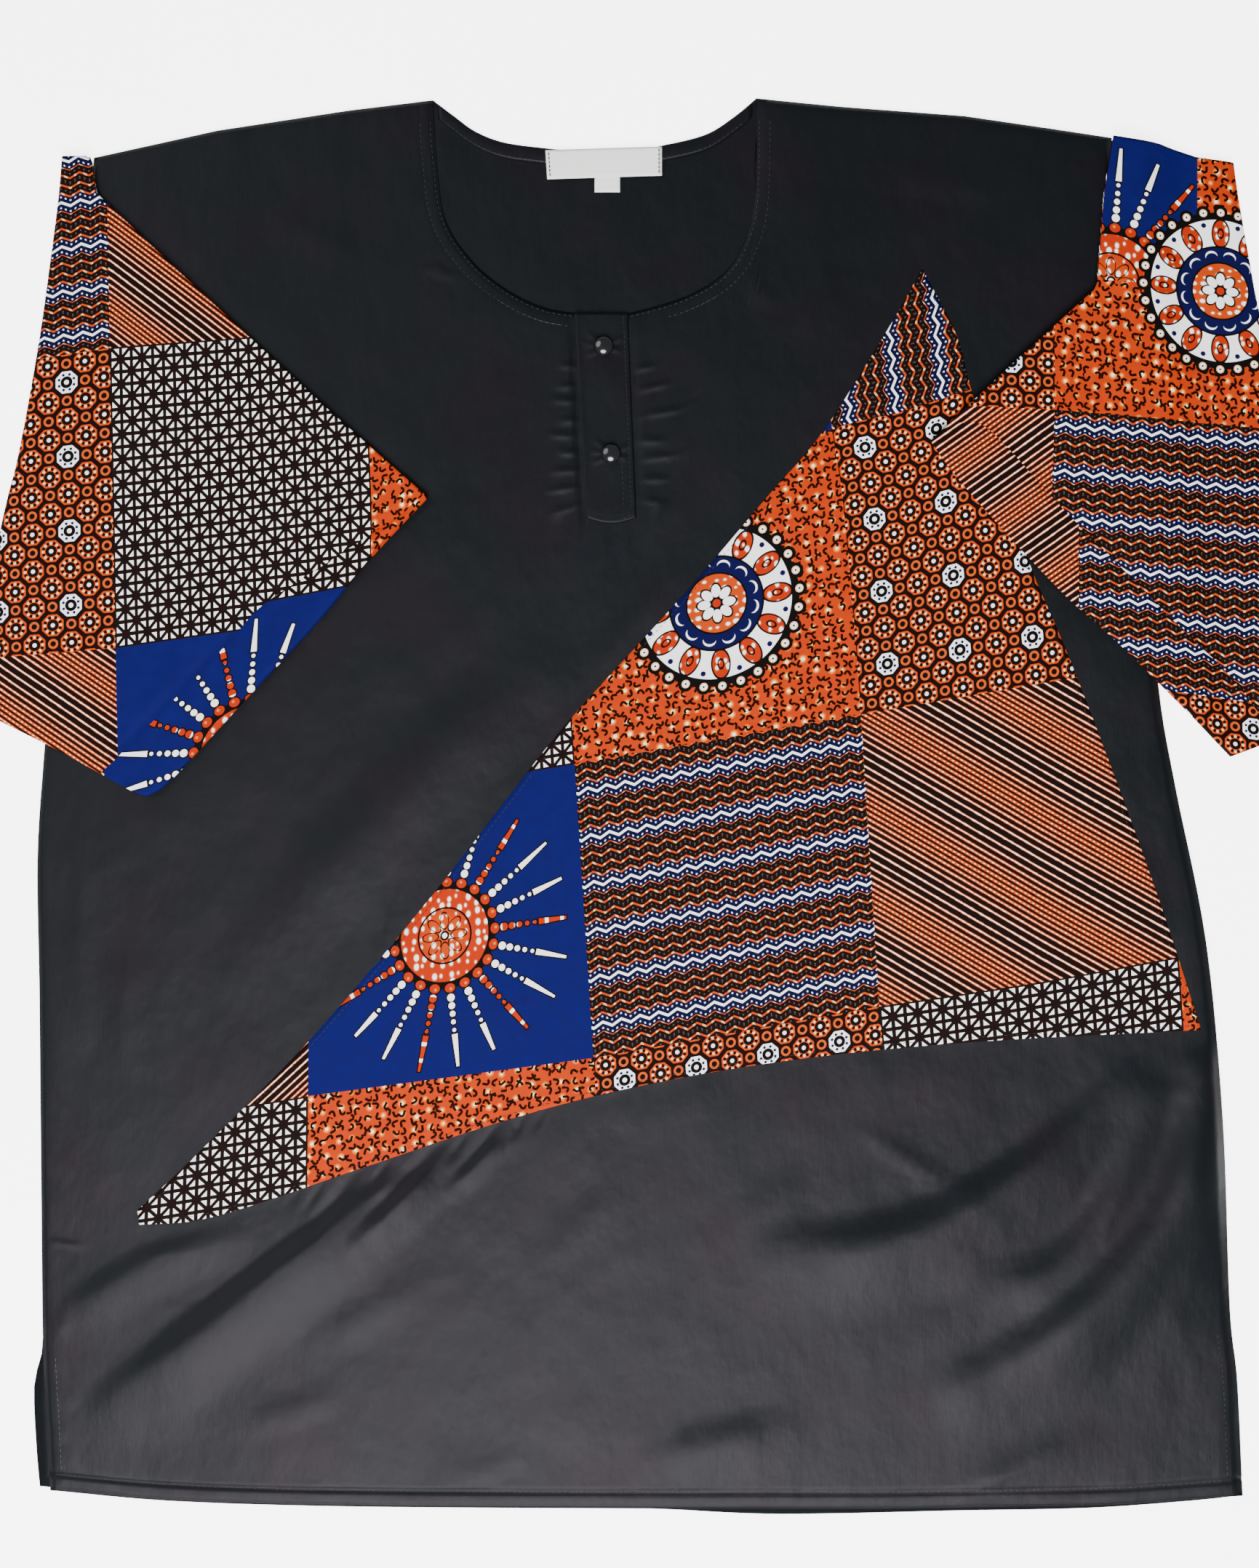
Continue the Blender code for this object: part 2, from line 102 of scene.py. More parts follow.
class Line:
    """A line of the pattern, kept as dense points in millimetres."""

    def __init__(self, points: Sequence[Sequence[float]], smooth: bool = True) -> None:
        """Make the line through its table points, as a smooth curve or in straight runs."""
        knots = np.array(points, dtype=float)
        self.points = self.curve(knots) if smooth and len(knots) > 2 else knots

    @staticmethod
    def curve(knots: Array) -> Array:
        """Points of a smooth curve through the knots.

        Args:
            knots: the table points, one row each.

        Returns:
            The points, one row each.
        """
        ends = np.vstack([2 * knots[0] - knots[1], knots, 2 * knots[-1] - knots[-2]])
        t = np.linspace(0.0, 1.0, CURVE_STEPS, endpoint=False)[:, None]
        runs = [0.5 * (2 * b + (c - a) * t + (2 * a - 5 * b + 4 * c - d) * t ** 2
                       + (3 * b - a - 3 * c + d) * t ** 3)
                for a, b, c, d in zip(ends, ends[1:], ends[2:], ends[3:])]
        return np.vstack(runs + [knots[-1:]])

    @property
    def steps(self) -> Array:
        """The distance from each of its points to the next."""
        return np.linalg.norm(np.diff(self.points, axis=0), axis=1)

    @property
    def length(self) -> float:
        """Length of the line in millimetres."""
        return float(self.steps.sum())

    def at(self, share: Array) -> Array:
        """Points that lie the given shares of the way along."""
        steps = self.steps
        along = np.concatenate([[0.0], np.cumsum(steps)]) / steps.sum()
        return np.stack([np.interp(share, along, self.points[:, k]) for k in (0, 1)], axis=-1)

    def x_at(self, y: Array) -> Array:
        """Where a line that runs downward crosses the heights."""
        return np.interp(-np.asarray(y), -self.points[:, 1], self.points[:, 0])

    def y_at(self, x: Array) -> Array:
        """The heights of a line that runs to the right."""
        return np.interp(x, self.points[:, 0], self.points[:, 1])

    def away(self, xy: Array) -> Array:
        """Distance of points from the line.

        Args:
            xy: points, one row each.

        Returns:
            One distance for each point.
        """
        best = np.full(len(xy), 1e9)
        for start, end in zip(self.points, self.points[1:]):
            run = end - start
            share = np.clip(((xy - start) @ run) / max(run @ run, 1e-9), 0.0, 1.0)
            best = np.minimum(best, np.linalg.norm(xy - start - share[:, None] * run, axis=1))
        return best

    def parallel(self, offset: float) -> "Line":
        """The line moved sideways, to the right of its run where the offset is positive."""
        run = np.gradient(self.points, axis=0)
        run /= np.linalg.norm(run, axis=1)[:, None] + 1e-9
        return straight(self.points + offset * np.stack([run[:, 1], -run[:, 0]], axis=1))

    def part(self, start: float, end: float) -> "Line":
        """The stretch of the line between two shares."""
        return straight(self.at(np.linspace(start, end, 60)))


def straight(points: Sequence[Sequence[float]]) -> Line:
    """A line that runs straight from each point to the next."""
    return Line(points, smooth=False)


def joined(*lines: Line) -> Array:
    """The points of several lines one after another."""
    return np.vstack([line.points for line in lines])


def ramp(value: Array) -> Array:
    """A soft step from 0 to 1."""
    share = np.clip(value, 0.0, 1.0)
    return share * share * (3.0 - 2.0 * share)


def bell(value: Array, width: float) -> Array:
    """1 at zero, fading on both sides of it within about the width."""
    return np.exp(-(value / width) ** 2)


def within(xy: Array, outline: Array) -> Array:
    """Whether points lie inside a closed outline.

    Args:
        xy: points, one row each.
        outline: its corners, one row each.

    Returns:
        True for each point inside.
    """
    inside = np.zeros(len(xy), dtype=bool)
    for (x0, y0), (x1, y1) in zip(outline, np.roll(outline, -1, axis=0)):
        crosses = (y0 > xy[:, 1]) != (y1 > xy[:, 1])
        slope = (x1 - x0) / (y1 - y0 if abs(y1 - y0) > 1e-9 else 1e-9)
        inside ^= crosses & (xy[:, 0] < x0 + (xy[:, 1] - y0) * slope)
    return inside


# Body outline
SHOULDER_LEFT = [(-318, 356), (-250, 371), (-178, 382), (-132, 388)]
SHOULDER_RIGHT = [(46, 389), (93, 384), (160, 379), (208, 372), (241, 367)]
BACK_NECK = Line([(-132, 388), (-120, 379), (-109, 371), (-94, 365), (-74, 362), (-50, 360),
                  (-24, 360), (-6, 363), (18, 369), (34, 379), (46, 389)])
FRONT_NECK = Line([(-132, 387), (-130, 355), (-125, 322), (-110, 299), (-92, 284), (-72, 274),
                   (-53, 270.5), (-38, 269.5), (-22, 271), (8, 280), (29, 293), (40, 311),
                   (45, 335), (46, 388)])
LEFT_SIDE = Line([(-318, 356), (-326, 275), (-336, 155), (-345, 34), (-349, -28), (-348, -102),
                  (-347, -205), (-346, -296), (-344, -337), (-342, -376)])
RIGHT_SIDE = Line([(241, 367), (248, 275), (258, 163), (267, 64), (276, 11), (293, -75),
                   (302, -172), (306, -276), (310, -315), (313, -379)])
BACK_LEFT_SIDE = Line([(-318, 356), (-326, 275), (-336, 155), (-345, 34), (-348, -102),
                       (-346, -282), (-351, -316), (-350, -350), (-348, -374)])
FRONT_HEM = Line([(-342, -376), (-273, -382), (-171, -385), (-24, -386), (50, -386),
                  (120, -386), (180, -385), (240, -384), (285, -381), (313, -379)])
BACK_HEM = Line([(-348, -374), (-273, -380), (-171, -384), (-24, -386), (42, -389), (90, -389),
                 (153, -387.5), (228, -386), (285, -382), (313, -379)])

# Wedge of print on the front
WEDGE_UPPER = Line([(137, 295), (117, 260), (82, 205), (52, 170), (5, 115), (-56, 48),
                    (-94, 0), (-132, -49), (-196, -125), (-262, -192), (-294, -222)])
WEDGE_LOWER = Line([(-293, -230), (-264, -228), (-233, -220), (-171, -199), (-96, -174),
                    (-24, -155), (62, -140), (160, -130), (290, -123)])
WEDGE_RIGHT = Line([(290, -123), (266, -49), (237, 31), (214, 90), (197, 130), (181, 179),
                    (164, 228), (156, 258), (137, 295)])

# Placket and buttons
PLACKET_LEFT = straight([(-54, 270.5), (-50, 202), (-47.5, 157)])
PLACKET_RIGHT = straight([(-24.5, 270.5), (-22.5, 218), (-20, 159)])
BUTTON_CENTRES = ((-38.0, 252.0), (-34.0, 193.0))


@dataclass(frozen=True)
class Crease:
    """A fold, or a groove where its height is negative: three points of its crest, its height
    and half width, how far it leans, and how its two ends fade down to a share of its height."""

    x0: float
    y0: float
    xm: float
    ym: float
    x1: float
    y1: float
    height: float
    reach: float
    lean: float = 0.0
    fade: float = 0.3
    floor: float = 0.35

    def crest(self) -> Array:
        """Points along the crest, about a millimetre apart.

        Returns:
            The points, one row each.
        """
        start, middle, end = (np.array(p, dtype=float) for p in (
            (self.x0, self.y0), (self.xm, self.ym), (self.x1, self.y1)))
        control = 2.0 * middle - 0.5 * (start + end)
        t = np.linspace(0.0, 1.0, int(24 + np.linalg.norm(end - start)))[:, None]
        return (1 - t) ** 2 * start + 2 * t * (1 - t) * control + t ** 2 * end

    def rise(self, xy: Array) -> Array:
        """How far the fold lifts the cloth.

        Args:
            xy: points, one row each.

        Returns:
            One height for each point.
        """
        crest = self.crest()
        wide = self.reach * (1.0 + abs(self.lean))
        near = np.flatnonzero(np.all((xy > crest.min(0) - wide) & (xy < crest.max(0) + wide),
                                     axis=1))
        rise = np.zeros(len(xy))
        if not len(near):
            return rise
        offset = xy[near][:, None, :] - crest[None, :, :]
        away = np.linalg.norm(offset, axis=2)
        nearest = away.argmin(axis=1)
        rows = np.arange(len(near))
        run = np.gradient(crest, axis=0)[nearest]
        cross = run[:, 0] * offset[rows, nearest, 1] - run[:, 1] * offset[rows, nearest, 0]
        size = np.linalg.norm(run, axis=1) * away[rows, nearest]
        side = np.clip(cross / np.maximum(size, 1e-9), -1.0, 1.0)
        share = nearest / (len(crest) - 1)
        ends = ramp(share / self.fade) * ramp((1.0 - share) / self.fade)
        reach = self.reach * (1.0 + self.lean * side)
        across = np.cos(0.5 * np.pi * np.clip(away[rows, nearest] / reach, 0.0, 1.0)) ** 2
        rise[near] = self.height * across * (self.floor + (1.0 - self.floor) * ends)
        return rise


def pucker(x0: float, y0: float, x1: float, y1: float, height: float, reach: float,
           bow: float = 0.0) -> Crease:
    """A small crease that fades out at both ends, its middle moved sideways by bow.

    Args:
        x0: x of its start.
        y0: y of its start.
        x1: x of its end.
        y1: y of its end.
        height: how high it rises.
        reach: its half width.
        bow: how far its middle moves.

    Returns:
        The crease.
    """
    run = np.array((x1 - x0, y1 - y0), dtype=float)
    side = np.array((run[1], -run[0])) / (np.linalg.norm(run) + 1e-9)
    middle = np.array((0.5 * (x0 + x1), 0.5 * (y0 + y1))) + bow * side
    return Crease(x0, y0, middle[0], middle[1], x1, y1, height, reach, 0.0, 0.45, 0.0)


def puckers(*rows: Sequence[float]) -> list[Crease]:
    """A pucker for each row of a table: its two ends, its height, its half width and its bow."""
    return [pucker(*row) for row in rows]


def raised(creases: Sequence[Crease], xy: Array) -> Array:
    """How far creases together lift the cloth at points."""
    return sum(crease.rise(xy) for crease in creases)


# The large folds of the front. They lie where the solids have theirs, with heights of their own
MAIN_FOLDS = [Crease(*row) for row in (
    (-304, -322, -236, -270, -160, -212, 4.3, 26, -0.5),
    (-334, -283, -294, -255, -245, -232, 1.7, 18, -0.3),
    (-172, -240, -150, -218, -130, -196, 2.1, 15, -0.4),
    (-121, -210, -106, -195, -92, -180, 1.3, 9, -0.3),
    (-222, -76, -152, 6, -86, 70, 2.3, 32, -0.25),
    (62, -242, 152, -225, 244, -156, 4.9, 29, -0.45),
    (172, -258, 222, -244, 262, -162, 3.6, 22, -0.4),
    (290, -150, 257, -244, 164, -316, 7.6, 31, 0.45),
    (160, -378, 190, -362, 230, -352, 1.4, 20, -0.2),
    (292, -237, 280, -273, 262, -305, 1.6, 19, 0.2),
    (-8, -358, 24, -349, 58, -342, 2.2, 20, -0.35))]

# Small creases of the black front, then the puckers of its placket and of its sides
SMALL_CREASES = puckers(
    (83, -166, 202, -249, 1.0, 7.0, -3.0), (292, -142, 278, -165, 0.9, 5.0),
    (-150, -64, -166, -90, 0.9, 5.0), (-182, -100, -196, -118, 0.7, 4.0),
    (-141, 296, -112, 289, 0.6, 4.0), (40, 291, 58, 274, 0.7, 5.0, 2.0),
    (21, -347, 48, -352, 0.8, 6.0), (164, -373, 224, -349, 0.8, 5.0, 2.0),
    (282, -263, 270, -292, 0.9, 4.0), (297, -222, 294, -238, 0.7, 3.5),
    (-321, 43, -324, -157, 0.5, 9.0, 2.0), (-210, -300, -120, -250, 0.8, 14.0, 4.0),
    (-90, -260, -20, -200, 0.6, 16.0, 4.0), (10, -262, 90, -190, 0.6, 15.0, -4.0),
    (120, -300, 180, -262, 0.7, 14.0, 3.0), (-250, -345, -170, -318, 0.8, 12.0, 2.0),
    (-130, -372, -70, -352, 0.6, 10.0, 2.0), (-60, 60, 12, 142, 0.7, 9.0, 3.0),
    (-240, 40, -205, 120, 0.5, 18.0, 5.0), (-180, 250, -120, 150, 0.5, 16.0, 6.0),
    (60, 250, 96, 300, 0.5, 14.0, 3.0), (-230, 330, -160, 300, 0.5, 14.0, 3.0),
    (100, 350, 190, 330, 0.5, 14.0, -3.0), (-300, -60, -296, -180, 0.6, 14.0, 4.0),
    (-262, -110, -226, -60, 0.6, 12.0, 3.0))
SMALL_CREASES += [pucker(x, y, x + dx, y + dy, 0.62, 3.0) for x, y, dx, dy in (
    (-51, 241, -13, 1), (-51, 231, -16, -1), (-50.5, 222, -19, 1), (-50, 212, -15, -1),
    (-50, 203, -21, 1), (-49.5, 194, -16, 0), (-49, 185, -21, -2), (-48.5, 176, -25, -4),
    (-48, 167, -25, -9), (-24, 239, 17, 3), (-23.5, 227, 25, 6), (-23, 213, 34, 6),
    (-22.5, 201, 21, -1), (-22, 190, 29, 3), (-21.5, 180, 22, -1), (-21, 170, 25, -7),
    (-20, 163, 17, -11), (-36, 150, -4, -18), (-28, 151, 5, -15))]
SMALL_CREASES += [pucker(-345, y, -328 + dx, y - 5, rise, 3.6) for y, dx, rise in (
    (-150, 4, 0.4), (-196, -3, 0.5), (-238, 6, 0.5), (-284, 0, 0.6), (-305, -5, 0.5),
    (-322, 5, 0.6), (-341, -2, 0.5), (-356, 4, 0.5))]
SMALL_CREASES += [pucker(x, y, x - 18, y - 6, 0.5, 4.0) for x, y in (
    (303, -208), (306, -262), (309, -304), (311, -338))]

# Grooves in the front along the placket's two edges
PLACKET_GROOVES = [Crease(-54.6, 268, -51.8, 205, -48.4, 154, -1.7, 2.2, 0.0, 0.5, 0.7),
                   Crease(-22.6, 266, -20.4, 212, -18.2, 158, -0.5, 1.8, 0.0, 0.2, 0.5)]

# Gathers under the print's lower edge, which are grooves: x, drift, length, depth, half width
GATHERS = (
    (-206, -8, 14, 0.35, 3.2), (-193, -12, 20, 0.45, 3.6), (-176, -30, 42, 0.9, 6.5),
    (-157, -14, 22, 0.5, 3.6), (-131, -42, 46, 1.1, 7.5), (-114, -12, 18, 0.45, 3.4),
    (-98, -26, 34, 0.8, 4.6), (-83, -7, 16, 0.5, 3.4), (-72, -6, 14, 0.4, 3.0))


class Layers:
    """Heights of the laid front, shared by every piece that lies on it."""

    def __init__(self) -> None:
        """Gather the creases, and the outlines that keep them off what lies on the front."""
        lower = WEDGE_LOWER.points
        self.edge = straight([(-420, lower[0, 1] + 4), *lower, (420, lower[-1, 1] + 8)])
        self.small = SMALL_CREASES + PLACKET_GROOVES
        for x, drift, length, depth, width in GATHERS:
            y = float(WEDGE_LOWER.y_at(x))
            self.small.append(Crease(x - 0.3 * drift, y + 0.3 * length, x + 0.33 * drift,
                                     y - 0.4 * length, x + drift, y - length, -depth, width,
                                     0.0, 0.5, 0.04))
        self.sleeves = [SLEEVE_LEFT.outline(), SLEEVE_RIGHT.outline()]
        self.wedge = joined(WEDGE_UPPER, WEDGE_LOWER, WEDGE_RIGHT)
        self.band = joined(PLACKET_LEFT, straight(PLACKET_RIGHT.points[::-1]))

    def swell(self, xy: Array) -> Array:
        """Low wide waves that satin keeps when it is laid down.

        Args:
            xy: points, one row each.

        Returns:
            One height for each point.
        """
        x, y = xy[:, 0], xy[:, 1]
        waves = (np.sin(0.031 * x + 0.012 * y + 0.4) * np.sin(0.019 * y - 0.011 * x + 1.1)
                 + 0.6 * np.sin(0.052 * x - 0.037 * y + 2.0) * np.sin(0.043 * y + 0.9)
                 + 0.3 * np.sin(0.083 * x + 0.071 * y) * np.sin(0.065 * y - 0.05 * x + 0.3))
        return 0.27 * (waves + 1.0)

    def lift(self, xy: Array) -> Array:
        """Rise of the front above its flat height.

        Args:
            xy: points, one row each.

        Returns:
            One height for each point.
        """
        depth = np.abs(self.edge.y_at(xy[:, 0]) - SEAM_CLEAR - xy[:, 1])
        folds = raised(MAIN_FOLDS, xy) * ramp(depth / SEAM_CALM)
        free = np.ones(len(xy))
        for outline in self.sleeves:
            away = straight([*outline, outline[0]]).away(xy)
            free *= ramp(away / 14.0) * ~within(xy, outline)
        on_print = within(xy, self.wedge)
        edge = straight([*self.wedge, self.wedge[0]]).away(xy)
        calm = np.where(on_print, 0.35, 0.35 + 0.65 * ramp(edge / 20.0))
        loose = ~within(xy, self.band)
        small = raised(self.small, xy) * ~on_print * loose
        return (folds + small + self.swell(xy) * calm * loose) * free


class Motif(Enum):
    """The squares of the wax print."""

    LATTICE = "lattice"
    WORMS = "worms"
    OCTAGONS = "octagons"
    WAVES = "waves"
    WAVES_TURNED = "waves_turned"
    STRIPES_DOWN = "stripes_down"
    STRIPES_UP = "stripes_up"
    SUN = "sun"
    BLUE = "blue"


LATTICE, WORMS, OCTAGONS, WAVES, WAVES_TURNED, STRIPES_DOWN, STRIPES_UP, SUN, BLUE = Motif
FILL_ORDER = (WORMS, LATTICE, STRIPES_DOWN, OCTAGONS, WAVES, STRIPES_UP)


@dataclass
class Layout:
    """How the printed squares lie on a piece.

    Columns are lines that run downward and rows are lines that run to the right. Fabric
    coordinates count CELL millimetres from one line to the next, u to the right from the
    first column line and v up from the last row line.
    """

    columns: list[Line]
    rows: list[Line]
    cells: dict[tuple[int, int], Motif]
    patch: Optional[tuple[float, float, float, float, Motif]] = None

    def cuts(self, axis: int, low: float, high: float) -> list[float]:
        """Where the piece is cut along its squares.

        Args:
            axis: 0 for u and 1 for v.
            low: least fabric coordinate of the piece.
            high: greatest one.

        Returns:
            The coordinates of the cuts, in millimetres.
        """
        found = [k * CELL for k in range(math.ceil(low / CELL), math.floor(high / CELL) + 1)]
        return found + (list(self.patch[2 * axis:2 * axis + 2]) if self.patch else [])

    def fabric(self, xy: Array) -> Array:
        """Fabric coordinates of points on the laid piece, in millimetres.

        Args:
            xy: points, one row each.

        Returns:
            One row of u and v for each point.
        """
        x, y = xy[:, 0], xy[:, 1]
        across = [self.beyond(-line.points[:, 1], line.points[:, 0], -y) for line in self.columns]
        up = [self.beyond(line.points[:, 0], line.points[:, 1], x) for line in self.rows[::-1]]
        return np.stack([self.count(np.stack(lines, axis=1), place)
                         for lines, place in ((across, x), (up, y))], axis=1) * CELL

    @staticmethod
    def beyond(keys: Array, values: Array, place: Array) -> Array:
        """A line's crossing at each place, carried straight on past its two ends.

        Args:
            keys: where the line's points lie.
            values: what it is worth there.
            place: where it is wanted.

        Returns:
            The line's value at each place.
        """
        slope = (values[-1] - values[0]) / (keys[-1] - keys[0])
        found = np.interp(place, keys, values)
        found += np.where(place < keys[0], (place - keys[0]) * slope, 0.0)
        return found + np.where(place > keys[-1], (place - keys[-1]) * slope, 0.0)

    @staticmethod
    def count(lines: Array, place: Array) -> Array:
        """Place of each value among its lines, in whole lines and shares between them.

        Args:
            lines: the lines' places, one column each.
            place: the values.

        Returns:
            One number for each place.
        """
        low = (place[:, None] > lines[:, 1:-1]).sum(axis=1)
        rows = np.arange(len(place))
        start, end = lines[rows, low], lines[rows, low + 1]
        return low + (place - start) / (end - start)

    def motif(self, u: float, v: float) -> Motif:
        """The motif of the square, or the patch in it, that holds a point of the fabric.

        Args:
            u: fabric coordinate in millimetres.
            v: the other coordinate.

        Returns:
            The motif.
        """
        if self.patch:
            left, right, bottom, top, motif = self.patch
            if left < u < right and bottom < v < top:
                return motif
        cell = (math.floor(u / CELL), math.floor(v / CELL))
        spare = FILL_ORDER[(cell[0] * 2 + cell[1] * 3) % len(FILL_ORDER)]
        return self.cells.get(cell, spare)


def px(*points: tuple[float, float]) -> list[tuple[float, float]]:
    """Points of the layout measured in 0.4 mm steps from the frame's corner, in millimetres."""
    return [((x - 925) * 0.4, (1108 - y) * 0.4) for x, y in points]


def guides(*rows: Sequence[tuple[float, float]]) -> list[Line]:
    """Lines of the layout, each in straight runs through its row of points as px takes them."""
    return [straight(px(*row)) for row in rows]


WEDGE_LAYOUT = Layout(
    columns=guides(((428, 1048), (424, 1556)), ((790, 1048), (816, 1451)),
                   ((1143, 592), (1156, 670), (1170, 810), (1183, 983), (1208, 1381)),
                   ((1560, 700), (1590, 983), (1619, 1315), (1626, 1420))),
    rows=guides(((640, 690), (1143, 592), (1175, 581), (1230, 570), (1333, 537), (1420, 520)),
                ((560, 1090), (788, 1051), (1186, 982), (1478, 932), (1620, 905)),
                ((330, 1521), (425, 1506), (815, 1454), (1216, 1382), (1429, 1350),
                 (1619, 1315), (1700, 1301)),
                ((330, 1926), (815, 1860), (1216, 1787), (1700, 1705))),
    cells={(0, 0): WORMS, (1, 0): OCTAGONS, (2, 0): LATTICE, (3, 0): WORMS, (-1, 0): LATTICE,
           (-1, 1): STRIPES_UP, (0, 1): SUN, (1, 1): WAVES, (2, 1): STRIPES_DOWN,
           (3, 1): STRIPES_DOWN, (0, 2): LATTICE, (1, 2): WORMS, (2, 2): OCTAGONS,
           (3, 2): OCTAGONS, (1, 3): BLUE, (2, 3): WAVES_TURNED, (3, 3): WAVES_TURNED,
           (0, 3): LATTICE})

LEFT_LAYOUT = Layout(
    columns=guides(((-260, 250), (-244, 895), (-236, 1100)),
                   ((146, 200), (150, 250), (160, 800), (162, 895), (166, 1100)),
                   ((505, 500), (512, 690), (520, 1000))),
    rows=guides(((-100, 138), (162, 100), (500, 60)),
                ((-100, 524), (54, 496), (160, 480), (345, 466), (560, 440)),
                ((-100, 912), (0, 905), (162, 892), (318, 870), (560, 838)),
                ((-100, 1312), (162, 1292), (560, 1238))),
    cells={(0, 2): WAVES, (1, 2): STRIPES_DOWN, (0, 1): OCTAGONS, (1, 1): LATTICE,
           (2, 1): WORMS, (0, 0): STRIPES_DOWN, (1, 0): BLUE, (2, 0): BLUE, (2, 2): WORMS,
           (0, 3): WAVES, (1, 3): WAVES})

LEFT_STRIP_LAYOUT = Layout(
    columns=guides(((-84, 700), (-84, 1100)), ((146, 700), (146, 1100)),
                   ((546, 700), (546, 1100))),
    rows=guides(((150, 866), (356, 831), (474, 809), (700, 770)),
                ((150, 1262), (356, 1227), (474, 1205), (700, 1166))),
    cells={(1, 0): SUN, (1, 1): LATTICE, (2, 1): LATTICE, (0, 0): WAVES, (2, 0): WORMS,
           (1, -1): WORMS},
    patch=(306.4, 520.0, 160.0, 480.0, WORMS))

RIGHT_LAYOUT = Layout(
    columns=guides(((1050, 100), (1046, 800), (1046, 1100)),
                   ((1447, 100), (1447, 563), (1443, 700), (1443, 1100)),
                   ((1850, 100), (1846, 1100))),
    rows=guides(((1200, 150), (1443, 163), (1731, 190), (1900, 203)),
                ((1200, 556), (1362, 562), (1446, 566), (1731, 590), (1900, 604)),
                ((1200, 958), (1443, 966), (1731, 990), (1900, 1004))),
    cells={(0, 1): OCTAGONS, (1, 1): WORMS, (0, 0): STRIPES_UP, (1, 0): WAVES, (1, 2): SUN,
           (1, -1): OCTAGONS, (2, 1): LATTICE, (2, 0): STRIPES_DOWN},
    patch=(0.0, 238.4, 233.0, 400.0, SUN))

RIGHT_STRIP_LAYOUT = Layout(
    columns=guides(((1080, 500), (1080, 1100)), ((1480, 500), (1480, 1100)),
                   ((1880, 500), (1880, 1100))),
    rows=guides(((1200, 552), (1480, 562), (1900, 592)),
                ((1200, 932), (1480, 942), (1606, 951), (1689, 962), (1900, 990))),
    cells={(0, 0): STRIPES_UP, (1, 0): WAVES, (2, 0): WAVES, (1, -1): OCTAGONS,
           (2, -1): OCTAGONS, (0, 1): OCTAGONS})


@dataclass
class SleeveCut:
    """A sleeve as it lies: its four edges, its underarm seam and how it is printed."""

    name: str
    head: Line
    cuff: Line
    outer: Line
    lower: Line
    seam: Line
    body_side: Line
    outward: int
    rest: float
    layout: Layout
    strip_layout: Layout
    creases: list[Crease]
    flat: tuple[float, float]
    area: float

    def outline(self) -> Array:
        """The sleeve's outline as it lies."""
        return np.vstack([self.head.points, self.lower.points, self.cuff.points[::-1],
                          self.outer.points[::-1]])


SLEEVE_LEFT = SleeveCut(
    name="sleeve_left",
    head=straight([(-335, 356), (-319, 356), (-316, 336), (-274, 296), (-231, 256),
                   (-182, 211), (-134, 169)]),
    cuff=Line([(-390, 57), (-370, 47), (-334, 29), (-300, 10), (-288, 5)]),
    outer=Line([(-335, 356), (-337, 333), (-341, 302), (-348, 253), (-359, 194), (-368, 158),
                (-390, 57)]),
    lower=Line([(-134, 169), (-165, 136), (-196, 99), (-237, 55), (-275, 14), (-288, 5)]),
    seam=Line([(-134, 169), (-181, 140), (-228, 111), (-241, 96), (-278, 57), (-316, 19)]),
    body_side=LEFT_SIDE, outward=-1, rest=2.6,
    layout=LEFT_LAYOUT, strip_layout=LEFT_STRIP_LAYOUT,
    creases=puckers((-300, 40, -262, 96, 1.1, 8.0, 3.0), (-330, 60, -300, 110, 0.8, 9.0, -3.0),
                    (-180, 200, -230, 150, 0.7, 9.0, 4.0), (-326, 330, -318, 300, 0.8, 5.0),
                    (-350, 230, -330, 160, 0.7, 8.0, 3.0), (-160, 168, -200, 140, 0.6, 5.0)),
    flat=(0.53, 0.315), area=0.1150)

SLEEVE_RIGHT = SleeveCut(
    name="sleeve_right",
    head=straight([(308, 353), (287, 356), (266, 363), (241, 367), (236, 335), (232, 284),
                   (190, 246), (141, 200)]),
    cuff=Line([(390, 60), (356, 46), (322, 33), (306, 27)]),
    outer=Line([(308, 353), (311, 332), (317, 298), (322, 272), (336, 219), (358, 147),
                (390, 60)]),
    lower=Line([(141, 200), (153, 183), (180, 152), (215, 115), (246, 87), (299, 34),
                (306, 27)]),
    seam=Line([(141, 200), (168, 213), (212, 168), (245, 135), (279, 100), (309, 72),
               (334, 37.5)]),
    body_side=RIGHT_SIDE, outward=1, rest=3.9,
    layout=RIGHT_LAYOUT, strip_layout=RIGHT_STRIP_LAYOUT,
    creases=puckers((240, 120, 272, 142, 0.9, 7.0, 2.0), (180, 190, 220, 150, 0.7, 6.0),
                    (300, 330, 290, 290, 0.8, 7.0, 3.0), (330, 120, 300, 170, 0.8, 10.0, 4.0),
                    (250, 300, 262, 250, 0.7, 8.0, 3.0), (285, 75, 320, 92, 0.9, 6.0)),
    flat=(0.47, 0.32), area=0.1090)


